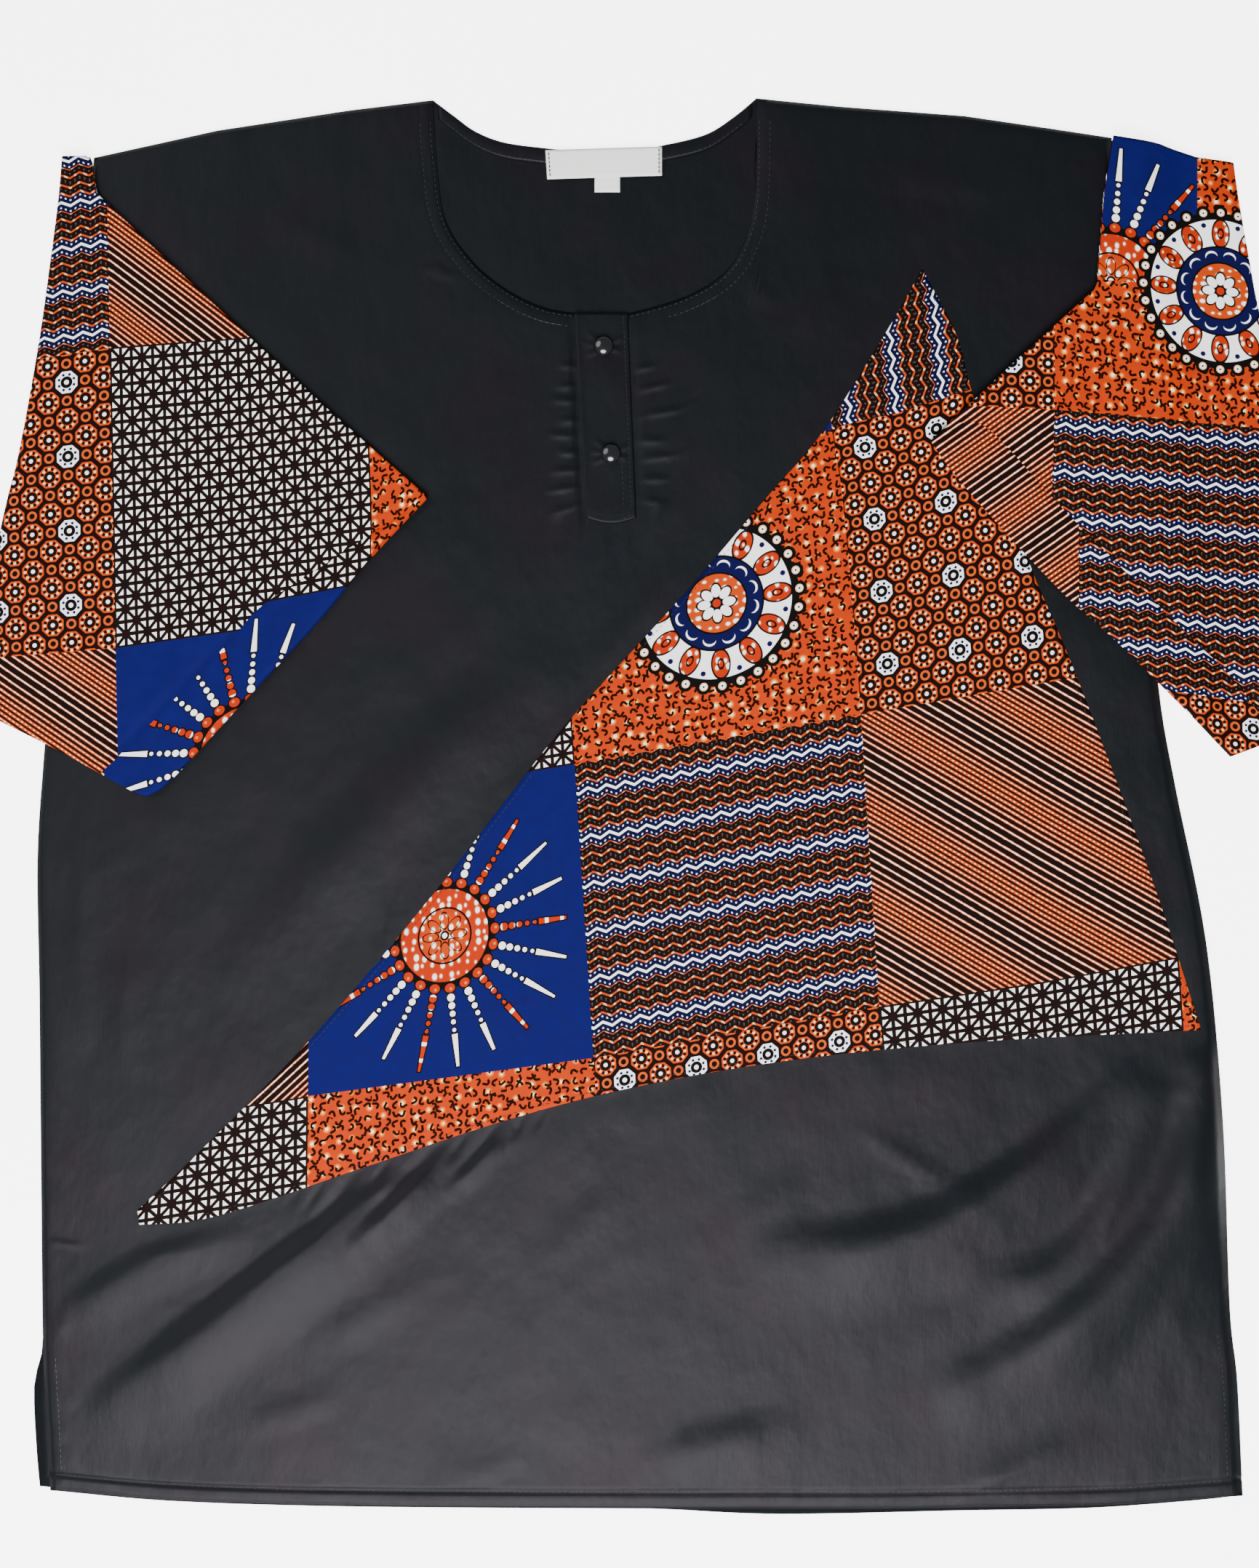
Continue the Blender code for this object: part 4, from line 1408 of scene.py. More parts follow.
def blend(s: Array, t: Array, corners: Sequence) -> Array:
    """Points among four corners: low left, low right, high left and high right."""
    a, b, c, d = corners
    return (1 - s) * (1 - t) * a + s * (1 - t) * b + (1 - s) * t * c + s * t * d


def patch(s: Array, t: Array, edges: Sequence[Array], corners: Sequence) -> Array:
    """Points of a sheet among its four edges.

    Args:
        s: shares across, as a column.
        t: shares up, as a column.
        edges: points of the low, high, left and right edge at those shares.
        corners: its corners: low left, low right, high left and high right.

    Returns:
        The points, one row each.
    """
    low, high, left, right = edges
    return (1 - t) * low + t * high + (1 - s) * left + s * right - blend(s, t, corners)


@dataclass
class Body:
    """The black satin back and front. Steps are counted across, then up to each share."""

    room: Workroom
    layers: Layers
    back_across: tuple = ((0.333, 30), (0.651, 60), (1.0, 30))
    back_up: tuple = ((0.5, 40), (0.985, 70), (1.0, 4))
    front_across: tuple = ((0.215, 40), (0.345, 72), (0.432, 36), (0.54, 54), (1.0, 48))
    front_below: tuple = ((0.08, 14), (0.72, 24), (0.995, 34), (1.0, 1))
    front_above: tuple = ((0.005, 1), (0.06, 8), (0.74, 36), (0.95, 65), (1.0, 10))
    turned: float = 0.62
    turned_reach: float = 3.4
    rounds: int = 5

    def back(self) -> Piece:
        """Make the back, flat on the surface, with small creases inside the neck.

        Returns:
            The piece.
        """
        top = straight(joined(straight(SHOULDER_LEFT), BACK_NECK, straight(SHOULDER_RIGHT)))
        across, up = shares(*self.back_across), shares(*self.back_up)
        creases = puckers((-50, 352, -20, 338, 0.16, 6.0), (-100, 330, -88, 345, 0.14, 5.0))

        def place(column: Array, row: Array) -> Array:
            """Points of the back."""
            s, t = across[column], up[row]
            x = np.zeros(len(s))
            for _ in range(self.rounds):
                y = (1 - t) * BACK_HEM.y_at(x) + t * top.y_at(x)
                x = (1 - s) * BACK_LEFT_SIDE.x_at(y) + s * RIGHT_SIDE.x_at(y)
            xy = np.stack([x, y], axis=1)
            dip = raised(creases, xy) + 0.2 * bell(BACK_NECK.away(xy) - 8.5, 0.9)
            edge = np.minimum(np.minimum(s, 1 - s) * 650.0, np.minimum(t, 1 - t) * 760.0)
            return np.column_stack([xy, BACK_TOP - dip - 0.3 * (1 - ramp(edge / 3.0))])

        made = self.room.piece(laid_grid(len(across) - 1, len(up) - 1, place), "back_cloth",
                               [Satin("black_satin_back")], "black_satin", ["back_panel"],
                               BACK_TOP - 0.35)
        return made

    def front(self) -> Piece:
        """Make the front, eased onto the print and folded as it lies.

        Returns:
            The piece.
        """
        below, above = shares(*self.front_below), shares(*self.front_above)
        across = shares(*self.front_across)
        top = straight(joined(straight(SHOULDER_LEFT[:3] + [(-133, 387.5)]), FRONT_NECK,
                              straight([(47, 388.5)] + SHOULDER_RIGHT[1:])))
        left_share = straight(top.points[:4]).length / top.length
        neck_share = left_share + FRONT_NECK.length / top.length
        top_share = np.interp(across, (0.0, 0.333, 0.651, 1.0), (0.0, left_share, neck_share, 1.0))

        def seam_points(s: Array) -> Array:
            """Points just under the print's lower edge, and the line carried on."""
            x = np.zeros(len(s))
            for _ in range(self.rounds + 1):
                y = self.layers.edge.y_at(x) - SEAM_CLEAR
                x = (1 - s) * LEFT_SIDE.x_at(y) + s * RIGHT_SIDE.x_at(y)
            return np.stack([x, y], axis=1)

        corners = seam_points(np.array([0.0, 1.0]))

        def side_points(side: Line, t: Array, start: float) -> Array:
            """Points of a side above the seam line."""
            y = start + t * (side.points[0, 1] - start)
            return np.stack([side.x_at(y), y], axis=1)

        def place(column: Array, row: Array) -> Array:
            """Points of the front."""
            s = across[column]
            low = row < len(below)
            t = below[np.minimum(row, len(below) - 1)]
            x = np.zeros(len(s))
            for _ in range(self.rounds):
                y = (1 - t) * FRONT_HEM.y_at(x) + t * (self.layers.edge.y_at(x) - SEAM_CLEAR)
                x = (1 - s) * LEFT_SIDE.x_at(y) + s * RIGHT_SIDE.x_at(y)
            lower = np.stack([x, y], axis=1)
            t = above[np.clip(row - len(below) + 1, 0, len(above) - 1)]
            edges = (seam_points(s), top.at(top_share[column]),
                     side_points(LEFT_SIDE, t, corners[0, 1]),
                     side_points(RIGHT_SIDE, t, corners[1, 1]))
            upper = patch(s[:, None], t[:, None], edges, (*corners, top.points[0], top.points[-1]))
            xy = np.where(low[:, None], lower, upper)
            return np.column_stack([xy, self.height(xy)])

        sheet = laid_grid(len(across) - 1, len(below) + len(above) - 2, place)
        made = self.room.piece(sheet, "front_cloth", [FRONT_SATIN], "black_satin",
                               ["front_panel"], THIN, even=False)
        return made

    def height(self, xy: Array) -> Array:
        """Height of the front: its folds, its turned edges and its stitched grooves.

        Args:
            xy: points, one row each.

        Returns:
            One height for each point.
        """
        lines = (LEFT_SIDE, RIGHT_SIDE, FRONT_HEM, FRONT_NECK, straight(SHOULDER_LEFT),
                 straight(SHOULDER_RIGHT))
        away = [line.away(xy) for line in lines]
        edge = np.min(away, axis=0)
        turned = self.turned * (1 - ramp(edge / self.turned_reach))
        groove = 0.9 * bell(away[2] - HEM_ROW, 1.3) + 0.10 * bell(away[3] - NECK_ROW, 1.0)
        return FRONT_TOP + self.layers.lift(xy) * ramp(0.25 + edge / 14.0) - turned - groove


@dataclass
class PrintFinishes:
    """The finishes of one piece's print: where its sun and its medallion lie."""

    tag: str
    layout: Layout
    sun: Optional[tuple[float, float]] = None
    medallion: Optional[tuple[float, float, float]] = None
    under_medallion: tuple[Motif, ...] = ()

    def place(self, x: float, y: float) -> tuple[float, float]:
        """Fabric coordinates of a point of the laid piece."""
        u, v = self.layout.fabric(np.array([[x, y]]))[0]
        return float(u), float(v)

    def get(self, motif: Motif) -> Finish:
        """The finish of a motif on this piece.

        Args:
            motif: which motif.

        Returns:
            The finish.
        """
        covered = self.medallion and motif in self.under_medallion
        if motif is not SUN and not covered:
            return PrintedCotton("print_" + motif.value, motif)
        sun = self.place(*self.sun) if self.sun else (80.0, 80.0)
        middle = (*self.place(*self.medallion[:2]), self.medallion[2]) if covered else None
        return PrintedCotton(f"print_{motif.value}_{self.tag}", motif, sun, middle)


@dataclass
class Wedge:
    """The wedge of print stitched on the front."""

    room: Workroom
    layers: Layers
    apex_share: float = 0.6
    across: tuple = ((0.6, 104), (0.985, 66), (1.0, 4))
    edge_rows: tuple[float, ...] = (0.0022, 0.0045, 0.008, 0.013, 0.02)
    rows: int = 66
    turned: float = 0.62
    turned_reach: float = 1.8

    def build(self) -> Piece:
        """Make the wedge, its edges turned under.

        Returns:
            The piece.
        """
        across = shares(*self.across)
        up = np.array([0.0, *self.edge_rows, *np.linspace(0.032, 0.968, self.rows),
                       *[1 - share for share in reversed(self.edge_rows)], 1.0])
        roof_left, roof_right = (straight(line.points[::-1]) for line in (WEDGE_UPPER, WEDGE_RIGHT))
        outline = straight(joined(WEDGE_UPPER, WEDGE_LOWER, WEDGE_RIGHT))

        def place(column: Array, row: Array) -> Array:
            """Points of the wedge."""
            s, t = across[column], up[row][:, None]
            left = roof_left.at(np.clip(s / self.apex_share, 0, 1))
            right = roof_right.at(np.clip((s - self.apex_share) / (1 - self.apex_share), 0, 1))
            high = np.where((s <= self.apex_share)[:, None], left, right)
            xy = (1 - t) * WEDGE_LOWER.at(s) + t * high
            away = outline.away(xy)
            turned = self.turned * (1 - ramp(away / self.turned_reach))
            groove = 0.16 * bell(away - EDGE_ROW, 0.7)
            return np.column_stack([xy, WEDGE_TOP + self.layers.lift(xy) - turned - groove])

        sheet = laid_grid(len(across) - 1, len(up) - 1, place)
        bmesh.ops.remove_doubles(sheet, verts=sheet.verts, dist=MERGE)
        sheet.faces.layers.int.new("band")
        set_fabric(sheet, 0, WEDGE_LAYOUT.fabric(flat_points(sheet)))
        sun, rose = px((612, 1286), (985, 830))
        finishes = PrintFinishes("wedge", WEDGE_LAYOUT, sun, (*rose, 50.0), (WORMS,))
        motifs = print_cells(sheet, [WEDGE_LAYOUT])
        made = self.room.piece(sheet, "wedge_cloth", [finishes.get(motif) for motif in motifs],
                               "wax_print", ["front_applique"], 0.5, even=False)
        return made


@dataclass
class Sleeve:
    """A wide sleeve: a flattened tube of print, open at the head and at the cuff."""

    room: Workroom
    cut: SleeveCut
    main_columns: int = 62
    strip_columns: int = 12
    up: tuple = ((0.012, 2), (0.955, 76), (1.0, 6))
    angles: tuple[float, ...] = (62.0, 36.0, 12.0, -12.0, -36.0, -62.0)
    puff: float = 0.9
    puff_reach: float = 14.0
    drop_start: float = 14.0
    drop_end: float = 36.0

    def __post_init__(self) -> None:
        """Count the points round the tube, and find its rows and its seam."""
        self.half = (self.main_columns + self.strip_columns) // 2
        self.main_end = len(self.angles) + self.main_columns - 1
        self.under_start = self.main_end + self.strip_columns + len(self.angles)
        self.along = shares(*self.up)
        self.seam = self.seam_share(self.along)

    def spread(self, across: Array, along: Array) -> Array:
        """Points of the flat sleeve among its four edges.

        Args:
            across: shares across it.
            along: shares along it.

        Returns:
            The points, one row each.
        """
        cut = self.cut
        edges = (cut.head.at(across), cut.cuff.at(across), cut.outer.at(along), cut.lower.at(along))
        corners = [line.points[k] for line in (cut.head, cut.cuff) for k in (0, -1)]
        return patch(across[:, None], along[:, None], edges, corners)

    def seam_share(self, along: Array) -> Array:
        """How far across the underarm seam lies, at shares along the sleeve.

        Args:
            along: shares along it.

        Returns:
            One share for each.
        """
        grid = np.linspace(0.3, 1.0, 281)
        found = np.ones(len(along))
        for k, share in enumerate(along):
            points = self.spread(grid, np.full(len(grid), share))
            found[k] = grid[self.cut.seam.away(points).argmin()]
        smooth = np.convolve(np.pad(found, 3, mode="edge"), np.ones(7) / 7, mode="valid")
        return np.minimum(smooth, 0.985)

    def base(self, xy: Array) -> Array:
        """Height of the tube's underside: on the body, then down to the surface beyond it."""
        outside = self.cut.outward * (xy[:, 0] - self.cut.body_side.x_at(xy[:, 1]))
        drop = ramp((outside - self.drop_start) / (self.drop_end - self.drop_start))
        return self.cut.rest * (1.0 - drop)

    def ring(self) -> tuple[Array, Array, Array]:
        """For each point round the tube: its part, its share across that, and its angle.

        Returns:
            Three values for each point, in order round the tube.
        """
        ring = [("outer", 0.0, angle) for angle in reversed(self.angles)]
        ring += [("main", k / self.main_columns, 90.0) for k in range(1, self.main_columns)]
        ring += [("strip", k / self.strip_columns, 90.0) for k in range(self.strip_columns)]
        ring += [("lower", 1.0, angle) for angle in self.angles]
        ring += [("under", 1.0 - k / (2 * self.half), -90.0) for k in range(1, 2 * self.half)]
        kinds, part, angles = (np.array(values) for values in zip(*ring))
        return kinds, part, np.radians(angles)

    def build(self) -> Piece:
        """Make the sleeve.

        Returns:
            The piece.
        """
        cut = self.cut
        kinds, part, turn = self.ring()

        def place(column: Array, row: Array) -> Array:
            """Points of the tube."""
            ring_at, along, edge = column % len(kinds), self.along[row], self.seam[row]
            kind, share, angle = kinds[ring_at], part[ring_at], turn[ring_at]
            width = np.linalg.norm(cut.outer.at(along) - cut.lower.at(along), axis=1)
            across = np.select([kind == "main", kind == "strip"],
                               [share * edge, edge + (1 - edge) * share], share)
            radius = 0.5 * (SLEEVE_RISE + self.puff * bell((1 - across) * width, self.puff_reach))
            inset = radius * (1.0 - np.cos(angle)) / width
            across = np.select([kind == "outer", kind == "lower"], [inset, 1 - inset], across)
            xy = self.spread(across, along)
            waves = 0.25 * (1 + np.sin(0.06 * xy[:, 0] + 0.05 * xy[:, 1]) * np.sin(0.08 * xy[:, 1]))
            detail = (raised(cut.creases, xy) + waves - 1.1 * bell(cut.seam.away(xy), 2.0)
                      - 0.25 * bell(cut.cuff.away(xy) - CUFF_ROW, 1.1)) * (np.sin(angle) > 0.99)
            flat_enough = ramp(np.minimum(across, 1 - across) * width / 8.0)
            z = self.base(xy) + radius + radius * np.sin(angle) + detail * flat_enough
            return np.column_stack([xy, z])

        sheet = laid_grid(len(kinds), len(self.along) - 1, place)
        self.fabric_layers(sheet, len(kinds))
        bmesh.ops.remove_doubles(sheet, verts=sheet.verts, dist=MERGE)
        bmesh.ops.recalc_face_normals(sheet, faces=sheet.faces)
        motifs = print_cells(sheet, [cut.layout, cut.strip_layout])
        finishes = self.finishes()
        made = self.room.piece(sheet, cut.name + "_cloth",
                               [finishes.get(motif) for motif in motifs], "wax_print",
                               [cut.name], 0.5, even=False)
        return made

    def fabric_layers(self, sheet: Sheet, count: int) -> None:
        """Give each point its place on the cloth, and each face its band.

        Band 0 runs from the seam over the top, round the outer fold and half way under, and
        band 1 is the strip past the seam, the lower fold and the other half underneath.

        Args:
            sheet: the open grid of the tube.
            count: points round the tube.
        """
        xy = flat_points(sheet)
        column, row = np.arange(len(xy)) % (count + 1), np.arange(len(xy)) // (count + 1)
        under = ((column > self.under_start) & (column < count))[:, None]
        for number, (layout, edge) in enumerate(((self.cut.layout, self.cut.outer),
                                                 (self.cut.strip_layout, self.cut.lower))):
            mirrored = 2 * edge.at(self.along[row]) - xy
            set_fabric(sheet, number, layout.fabric(np.where(under, mirrored, xy)))
        band = sheet.faces.layers.int.new("band")
        index = {vertex: k for k, vertex in enumerate(sheet.verts)}
        for face in sheet.faces:
            first = min(column[index[vertex]] for vertex in face.verts)
            face[band] = int(self.main_end < first < self.under_start + self.half - 1)

    def finishes(self) -> PrintFinishes:
        """The print's finishes on this sleeve.

        Returns:
            The finishes.
        """
        if self.cut is SLEEVE_LEFT:
            (sun,) = px((341, 1034))
            return PrintFinishes("left", self.cut.strip_layout, sun)
        sun, rose = px((1524, 390), (1676, 402))
        return PrintFinishes("right", self.cut.layout, sun, (*rose, 46.0), (WORMS, SUN))


@dataclass
class Neck:
    """The facing, the label and the small tab inside the back neck."""

    room: Workroom
    label: Corners = ((-69, 344), (-6, 346), (-70, 360), (-6, 362))
    tab: Corners = ((-43, 337), (-29, 337), (-43, 350), (-29, 350))
    facing_ends: tuple[float, float] = (-129.0, 43.5)
    facing_depth: float = 8.0
    facing_rows: int = 6
    tape_grid: tuple[int, int] = (24, 10)

    def build(self) -> None:
        """Make the three pieces."""
        self.facing()
        self.tape("neck_label_tape", "neck_label", self.label, 2.75, 0.55)
        self.tape("size_tab_tape", "size_tab", self.tab, 1.95, 0.45)

    def facing(self) -> Piece:
        """Make the narrow faced band.

        Returns:
            The piece.
        """
        across = np.linspace(*self.facing_ends, 70)

        def place(column: Array, row: Array) -> Array:
            """Points of the facing."""
            x, share = across[column], row / self.facing_rows
            y = BACK_NECK.y_at(x) - 0.5 - self.facing_depth * (1 - share)
            lift = 0.25 * np.sin(np.pi * share) + 0.05 * np.sin(x * 0.6) * np.sin(x * 0.13)
            return np.column_stack([x, y, 1.75 + lift])

        made = self.room.piece(laid_grid(len(across) - 1, self.facing_rows, place),
                               "neck_facing_cloth", [SHADED_INNER_SATIN], "black_satin",
                               ["back_neck_facing"], 0.5)
        return made

    def tape(self, name: str, node: str, corners: Corners, top: float, wall: float) -> Piece:
        """A bare woven tape with folded ends.

        Args:
            name: the piece's name.
            node: the CAD node that it stands for.
            corners: low left, low right, high left and high right, in millimetres.
            top: height of its face.
            wall: its thickness.

        Returns:
            The tape.
        """
        points = np.array(corners, dtype=float)
        columns, rows = self.tape_grid

        def place(column: Array, row: Array) -> Array:
            """Points of the tape."""
            s, t = column / columns, row / rows
            bow = 0.35 * np.sin(np.pi * s) * np.sin(np.pi * t * 0.8)
            ends = 0.25 * bell(np.minimum(s, 1 - s) * columns, 1.2)
            return np.column_stack([blend(s[:, None], t[:, None], points), top + bow - ends])

        made = self.room.piece(laid_grid(columns, rows, place), name, [Tape("label_tape")],
                               "label_tape", [node], wall)
        return made


@dataclass
class Placket:
    """The two button bands below the neck, and the buttons."""

    room: Workroom
    low: float = 158.0
    high: float = 270.3
    sag: float = 3.0
    under_grid: tuple[int, int] = (8, 30)
    over_grid: tuple[int, int] = (26, 90)
    over_size: tuple[float, float] = (28.0, 112.0)
    button_rest: float = 3.9
    button_radius: float = 5.4
    button_rim: float = 1.1
    button_dome: float = 2.9
    button_foot: tuple = ((5.3, 0.8), (5.05, 0.55), (4.6, 0.4), (2.6, 0.2), (1.4, 0.0), (0.0, 0.0))

    def build(self) -> None:
        """Make the bands and the buttons."""
        self.under_band()
        self.over_band()
        for name, centre in zip(("button_upper", "button_lower"), BUTTON_CENTRES):
            self.button(name, centre)

    def band_points(self, s: Array, t: Array, inset: float = 0.0, end: float = 0.0) -> Array:
        """Points of a band.

        Args:
            s: shares across it.
            t: shares up it.
            inset: how far it stays inside the placket's two edges.
            end: how far its straight lower end stays above the rounded one.

        Returns:
            The points, one row each.
        """
        y = self.low + end + t * (self.high - self.low - end)
        left, right = PLACKET_LEFT.x_at(y) + inset, PLACKET_RIGHT.x_at(y) - inset
        sag = self.sag * np.sin(np.pi * s) * (1 - ramp(t / 0.16)) * (end == 0)
        return np.stack([left + s * (right - left), y - sag], axis=1)

    def under_band(self) -> Piece:
        """Make the lower band, in the cut of the front.

        Returns:
            The piece.
        """
        columns, rows = self.under_grid

        def place(column: Array, row: Array) -> Array:
            """Points of the under band."""
            xy = self.band_points(column / columns, row / rows, 3.5, 6.3)
            return np.column_stack([xy, np.full(len(xy), 1.62)])

        made = self.room.piece(laid_grid(columns, rows, place), "placket_under_cloth",
                               [SHADED_INNER_SATIN], "black_satin", ["placket_under"], 0.4)
        return made

    def over_band(self) -> Piece:
        """Make the upper band with its stitched edges, its left edge standing a little proud.

        Returns:
            The piece.
        """
        (columns, rows), (wide, tall) = self.over_grid, self.over_size
        pulls = puckers(*((x, y, x + dx, y + dy, 0.45, 2.4) for x, y in BUTTON_CENTRES
                          for dx, dy in ((-13, 2), (-12, -6), (12, 6), (11, -3), (-10, 9))))

        def place(column: Array, row: Array) -> Array:
            """Points of the over band."""
            s, t = column / columns, row / rows
            xy = self.band_points(s, t)
            edge = np.minimum((1 - s) * wide, t * tall)
            proud = (0.3 * bell(s * wide, 2.2) * ramp((t - 0.05) / 0.3)
                     - 0.25 * ramp((s - 0.6) / 0.4))
            turned = 0.32 * (1 - ramp(edge / 1.3)) + 0.13 * bell(edge - EDGE_ROW, 0.7)
            soft = 0.12 * np.sin(xy[:, 1] * 0.17) * np.sin(s * 3.1)
            return np.column_stack([xy, BAND_TOP + proud - turned + raised(pulls, xy) + soft])

        made = self.room.piece(laid_grid(columns, rows, place), "placket_over_cloth",
                               [FRONT_SATIN], "black_satin", ["placket_over"], 0.5, even=False)
        return made

    def button(self, node: str, centre: tuple[float, float]) -> Piece:
        """A domed shank button, turned from its profile.

        Args:
            node: the CAD node that it stands for.
            centre: its middle in millimetres.

        Returns:
            The button.
        """
        arc = np.radians(np.linspace(90, 0, 12))
        profile = [(self.button_radius * math.cos(a),
                    self.button_rim + self.button_dome * math.sin(a)) for a in arc]
        profile[0] = (0.0, profile[0][1])
        turned = bmesh.new()
        points = [turned.verts.new((x * MM, 0.0, z * MM)) for x, z in (*profile, *self.button_foot)]
        edges = [turned.edges.new(pair) for pair in zip(points, points[1:])]
        bmesh.ops.spin(turned, geom=points + edges, axis=(0, 0, 1), cent=(0, 0, 0), steps=40,
                       angle=2 * math.pi, use_merge=True)
        bmesh.ops.remove_doubles(turned, verts=turned.verts, dist=0.00001)
        bmesh.ops.recalc_face_normals(turned, faces=turned.faces)
        bmesh.ops.translate(turned, verts=turned.verts,
                            vec=[size * MM for size in (*centre, self.button_rest)])
        return self.room.piece(turned, node + "_dome", [Gloss("button_gloss")], "button_gloss",
                               [node])


@dataclass(frozen=True)
class Stitch:
    """A machine stitch: its length, the pitch of the row and the thread's width."""

    long: float = 2.5
    pitch: float = 3.1
    wide: float = 0.42


PLAIN_STITCH = Stitch()
EDGE_STITCH = Stitch(wide=0.36)
BAND_STITCH = Stitch(2.0, 2.6, 0.36)
FACING_STITCH = Stitch(2.2, 2.9, 0.36)
LABEL_STITCH = Stitch(2.1, 2.2, 0.75)


def level(height: float) -> Height:
    """A height that is the same everywhere.

    Args:
        height: how high it rises.

    Returns:
        That height as a function of points.
    """

    def same(xy: Array) -> Array:
        """The height at each point."""
        return np.full(len(xy), height)

    return same


@dataclass
class Sewing:
    """Rows of machine stitches on the cloth."""

    room: Workroom
    layers: Layers
    body: Body

    def row(self, sheet: Sheet, line: Line, height: Height, stitch: Stitch = PLAIN_STITCH) -> None:
        """Add one row of stitches.

        Args:
            sheet: the mesh that they are added to.
            line: where the row runs.
            height: height of the cloth at points, in millimetres.
            stitch: the stitch's sizes.
        """
        count = max(2, int(line.length / stitch.pitch))
        middle = line.at((np.arange(count) + 0.5) / count)
        ahead = line.at(np.minimum((np.arange(count) + 0.9) / count, 1.0))
        low, low_ahead = height(middle), height(ahead)
        half = 0.5 * stitch.wide * MM
        size = Matrix.Diagonal((0.5 * stitch.long * MM, half, 0.8 * half, 1.0))
        for k in range(count):
            run = Vector((*(ahead[k] - middle[k]), low_ahead[k] - low[k]))
            if run.length < 1e-6:
                continue
            turn = run.to_track_quat("X", "Z").to_matrix().to_4x4()
            spot = Matrix.Translation((*(middle[k] * MM), (low[k] + 0.08) * MM))
            bmesh.ops.create_icosphere(sheet, subdivisions=1, radius=1.0, matrix=spot @ turn @ size)

    def finished(self, sheet: Sheet, name: str, thread: Thread, slot: str) -> Piece:
        """A piece of all the rows in a mesh."""
        return self.room.piece(sheet, name + "_stitches", [thread], slot)

    def build(self) -> None:
        """Make the stitches of the body, of the wedge, of the tapes and of the sleeves."""
        self.body_rows()
        self.highlight_rows()
        self.tape_rows()
        for cut in (SLEEVE_LEFT, SLEEVE_RIGHT):
            self.sleeve_rows(cut)

    def on_wedge(self, xy: Array) -> Array:
        """Height of the wedge at its stitched edge."""
        return WEDGE_TOP - 0.14 + self.layers.lift(xy)

    def body_rows(self) -> Piece:
        """Black rows: hem, slit, neck, wedge edge, placket and facing.

        Returns:
            The piece.
        """
        sheet, neck = bmesh.new(), FRONT_NECK.parallel(NECK_ROW)
        for line in (FRONT_HEM.parallel(-HEM_ROW).part(0.012, 0.985), neck.part(0.03, 0.46),
                     neck.part(0.60, 0.97), FRONT_NECK.parallel(1.8).part(0.03, 0.97),
                     RIGHT_SIDE.parallel(8.0).part(0.88, 0.985)):
            self.row(sheet, line, self.body.height)
        for line, start in ((WEDGE_UPPER, 0.01), (WEDGE_LOWER, 0.02), (WEDGE_RIGHT, 0.01)):
            self.row(sheet, line.parallel(-EDGE_ROW).part(start, 0.99), self.on_wedge, EDGE_STITCH)
        right = straight(PLACKET_RIGHT.at(np.linspace(0.01, 0.96, 30)) - (EDGE_ROW, 0.0))
        inner = straight(PLACKET_RIGHT.at(np.linspace(0.72, 0.95, 12)) - (6.8, 0.0))
        low = Line([(-47.0, 159.5), (-40, 157.8), (-33, 157.0), (-26, 158.0), (-22.5, 160.5)])
        for line in (right, inner, low):
            self.row(sheet, line, level(BAND_TOP - 0.2), BAND_STITCH)
        facing = straight(BACK_NECK.points - (0.0, 7.4)).part(0.05, 0.95)
        self.row(sheet, facing, level(1.86), FACING_STITCH)
        return self.finished(sheet, "body", Thread("black_thread", (0.009, 0.009, 0.010)),
                             "black_satin")

    def highlight_rows(self) -> Piece:
        """Rows in grey thread, a painted highlight of stitches that catch the light: the left slit
        and beside the placket's top.

        Returns:
            The piece.
        """
        sheet, neck = bmesh.new(), FRONT_NECK.parallel(NECK_ROW)
        for line in (LEFT_SIDE.parallel(-7.0).part(0.90, 0.985), neck.part(0.34, 0.44),
                     neck.part(0.60, 0.68)):
            self.row(sheet, line, self.body.height, EDGE_STITCH)
        # Grey thread colour: painted highlight of stitches catching the light
        return self.finished(sheet, "slit", Thread("painted_highlight_thread", (0.06, 0.06, 0.062)),
                             "black_satin")

    def tape_rows(self) -> Piece:
        """Dark stitches that hold the label at its two ends.

        Returns:
            The piece.
        """
        sheet = bmesh.new()
        for ends in ([(-68.2, 359), (-67.4, 345.4)], [(-7.6, 361), (-7.6, 347.2)]):
            self.row(sheet, straight(ends), level(2.78), LABEL_STITCH)
        return self.finished(sheet, "label", Thread("label_thread", (0.006, 0.006, 0.007)),
                             "label_tape")

    def sleeve_rows(self, cut: SleeveCut) -> Piece:
        """Stitches of a sleeve's cuff hem.

        Args:
            cut: the sleeve's cut.

        Returns:
            The piece.
        """
        sleeve, sheet = Sleeve(self.room, cut), bmesh.new()

        def top(xy: Array) -> Array:
            """Height of the sleeve's top face."""
            return sleeve.base(xy) + SLEEVE_RISE + raised(cut.creases, xy) + 0.15

        hem = straight(sleeve.spread(np.linspace(0.03, 0.97, 60), np.full(60, 0.955)))
        self.row(sheet, hem, top, EDGE_STITCH)
        return self.finished(sheet, cut.name, Thread("brown_thread", (0.012, 0.004, 0.003)),
                             "wax_print")


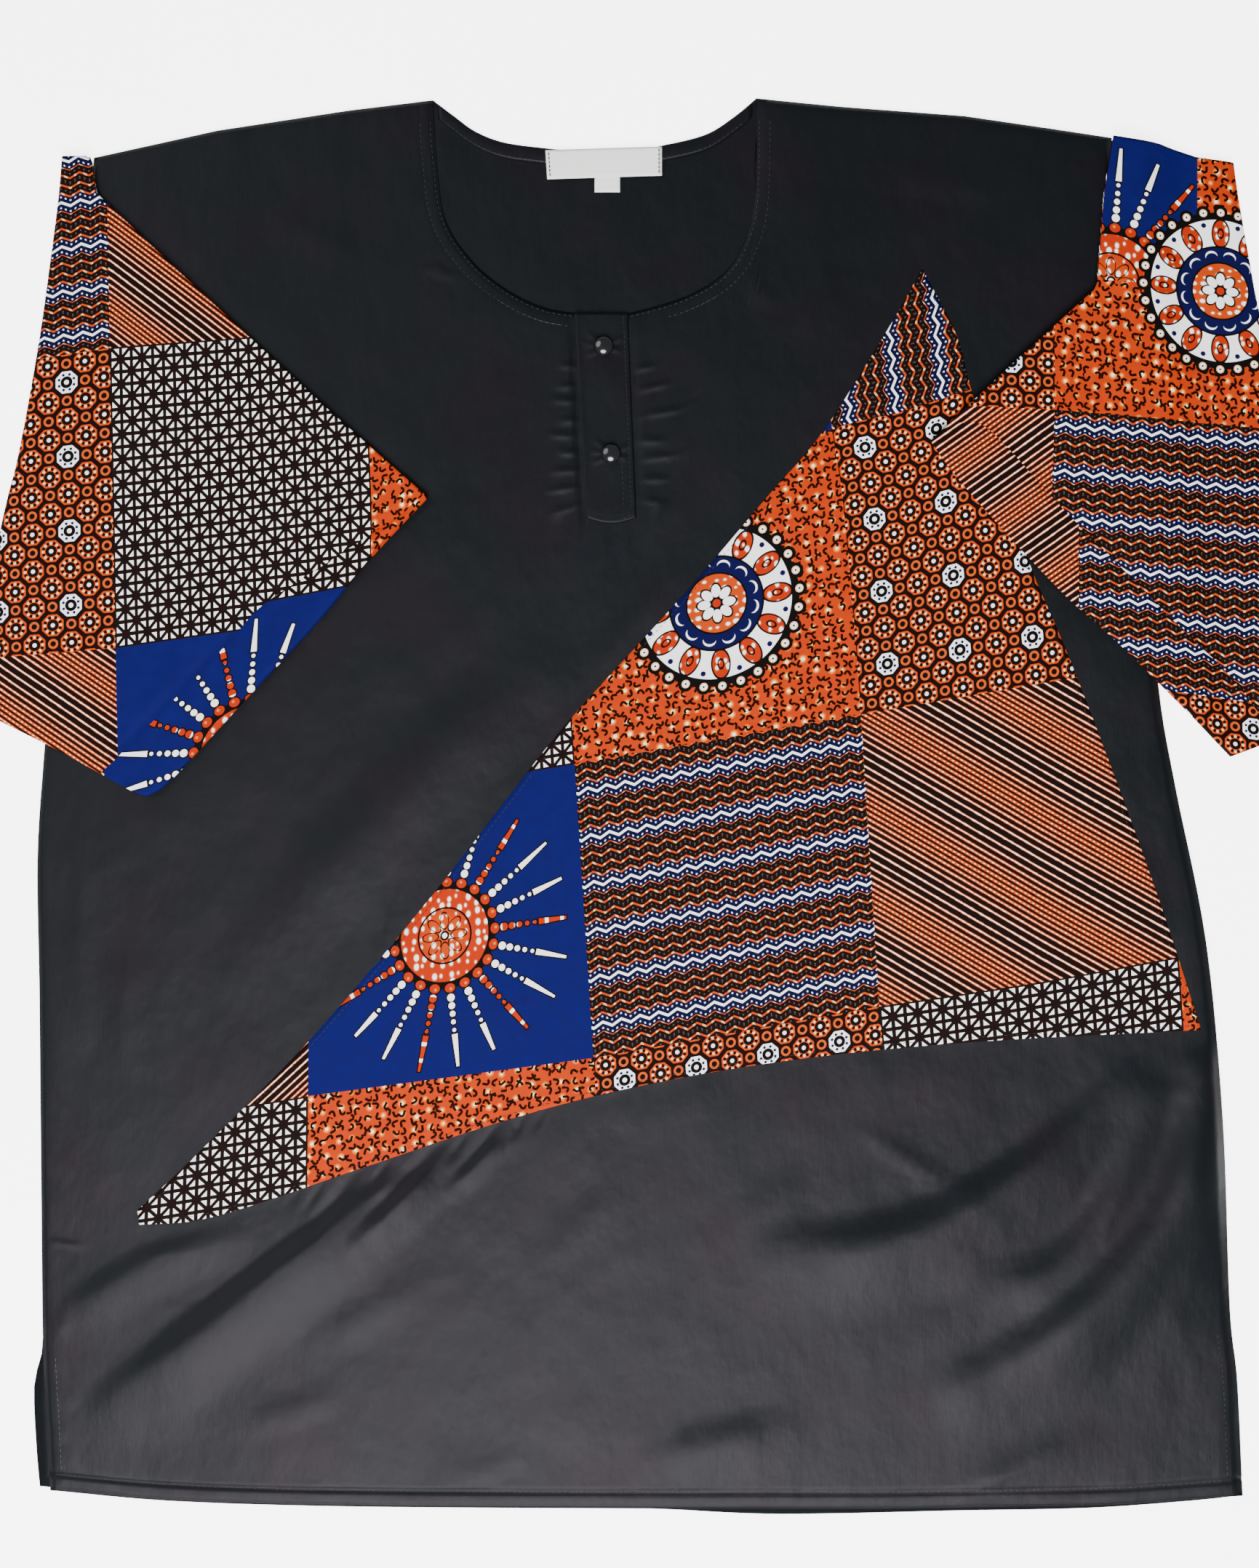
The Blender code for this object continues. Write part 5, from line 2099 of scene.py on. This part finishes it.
@dataclass
class Studio:
    """Pale floor, soft light and the camera straight above, in metres and watts."""

    camera_place: tuple[float, float, float] = (-0.0238, 0.012, 1.4)
    lens: float = 58.44
    sensor: float = 36.0
    near: float = 0.05
    floor_half: float = 4.0
    floor_gap: float = 0.0002
    sky: tuple[float, float, float, float] = (0.95, 0.97, 1.0, 1.0)
    sky_strength: float = 0.40
    lamps: tuple = (("key", (-0.14, -1.28, 1.75), 1.5, 135.0),
                    ("fill", (-1.7, 1.1, 1.7), 2.0, 40.0))

    def build(self, room: Workroom) -> None:
        """Make the floor, the lights and the camera.

        Args:
            room: makes the objects.
        """
        floor = bmesh.new()
        bmesh.ops.create_grid(floor, x_segments=4, y_segments=4, size=self.floor_half)
        bmesh.ops.translate(floor, verts=floor.verts, vec=(0, 0, -self.floor_gap))
        mesh = bpy.data.meshes.new("floor")
        floor.to_mesh(mesh)
        floor.free()
        mesh.materials.append(room.finish(PaleFloor()))
        self.add("floor", mesh)
        world = bpy.data.worlds.new("studio")
        world.use_nodes = True
        sky = world.node_tree.nodes["Background"]
        sky.inputs["Color"].default_value = self.sky
        sky.inputs["Strength"].default_value = self.sky_strength
        bpy.context.scene.world = world
        for lamp in self.lamps:
            self.lamp(*lamp)
        camera = bpy.data.cameras.new("camera")
        camera.lens, camera.sensor_width, camera.clip_start = self.lens, self.sensor, self.near
        view = self.add("camera", camera)
        view.location = self.camera_place
        bpy.context.scene.camera = view

    @staticmethod
    def add(name: str, data: bpy.types.ID) -> Piece:
        """Put new data in the scene."""
        made = bpy.data.objects.new(name, data)
        bpy.context.scene.collection.objects.link(made)
        return made

    def lamp(self, name: str, spot: tuple[float, float, float], size: float, power: float) -> None:
        """A round soft light aimed at the shirt.

        Args:
            name: the light's name.
            spot: where it is.
            size: how wide it is.
            power: its power.
        """
        light = bpy.data.lights.new(name, "AREA")
        light.shape, light.size, light.energy = "DISK", size, power
        holder = self.add(name, light)
        holder.location = spot
        holder.rotation_mode = "QUATERNION"
        holder.rotation_quaternion = (-Vector(spot)).to_track_quat("-Z", "Y")


def main() -> None:
    """Build the shirt and the studio."""
    logging.basicConfig(level=logging.INFO, format="%(message)s")
    room = Workroom()
    layers = Layers()
    body = Body(room, layers)
    body.back()
    body.front()
    Wedge(room, layers).build()
    for cut in (SLEEVE_LEFT, SLEEVE_RIGHT):
        Sleeve(room, cut).build()
    Neck(room).build()
    Placket(room).build()
    Sewing(room, layers, body).build()
    Studio().build(room)
    bpy.context.view_layer.update()


if __name__ == "__main__":
    main()
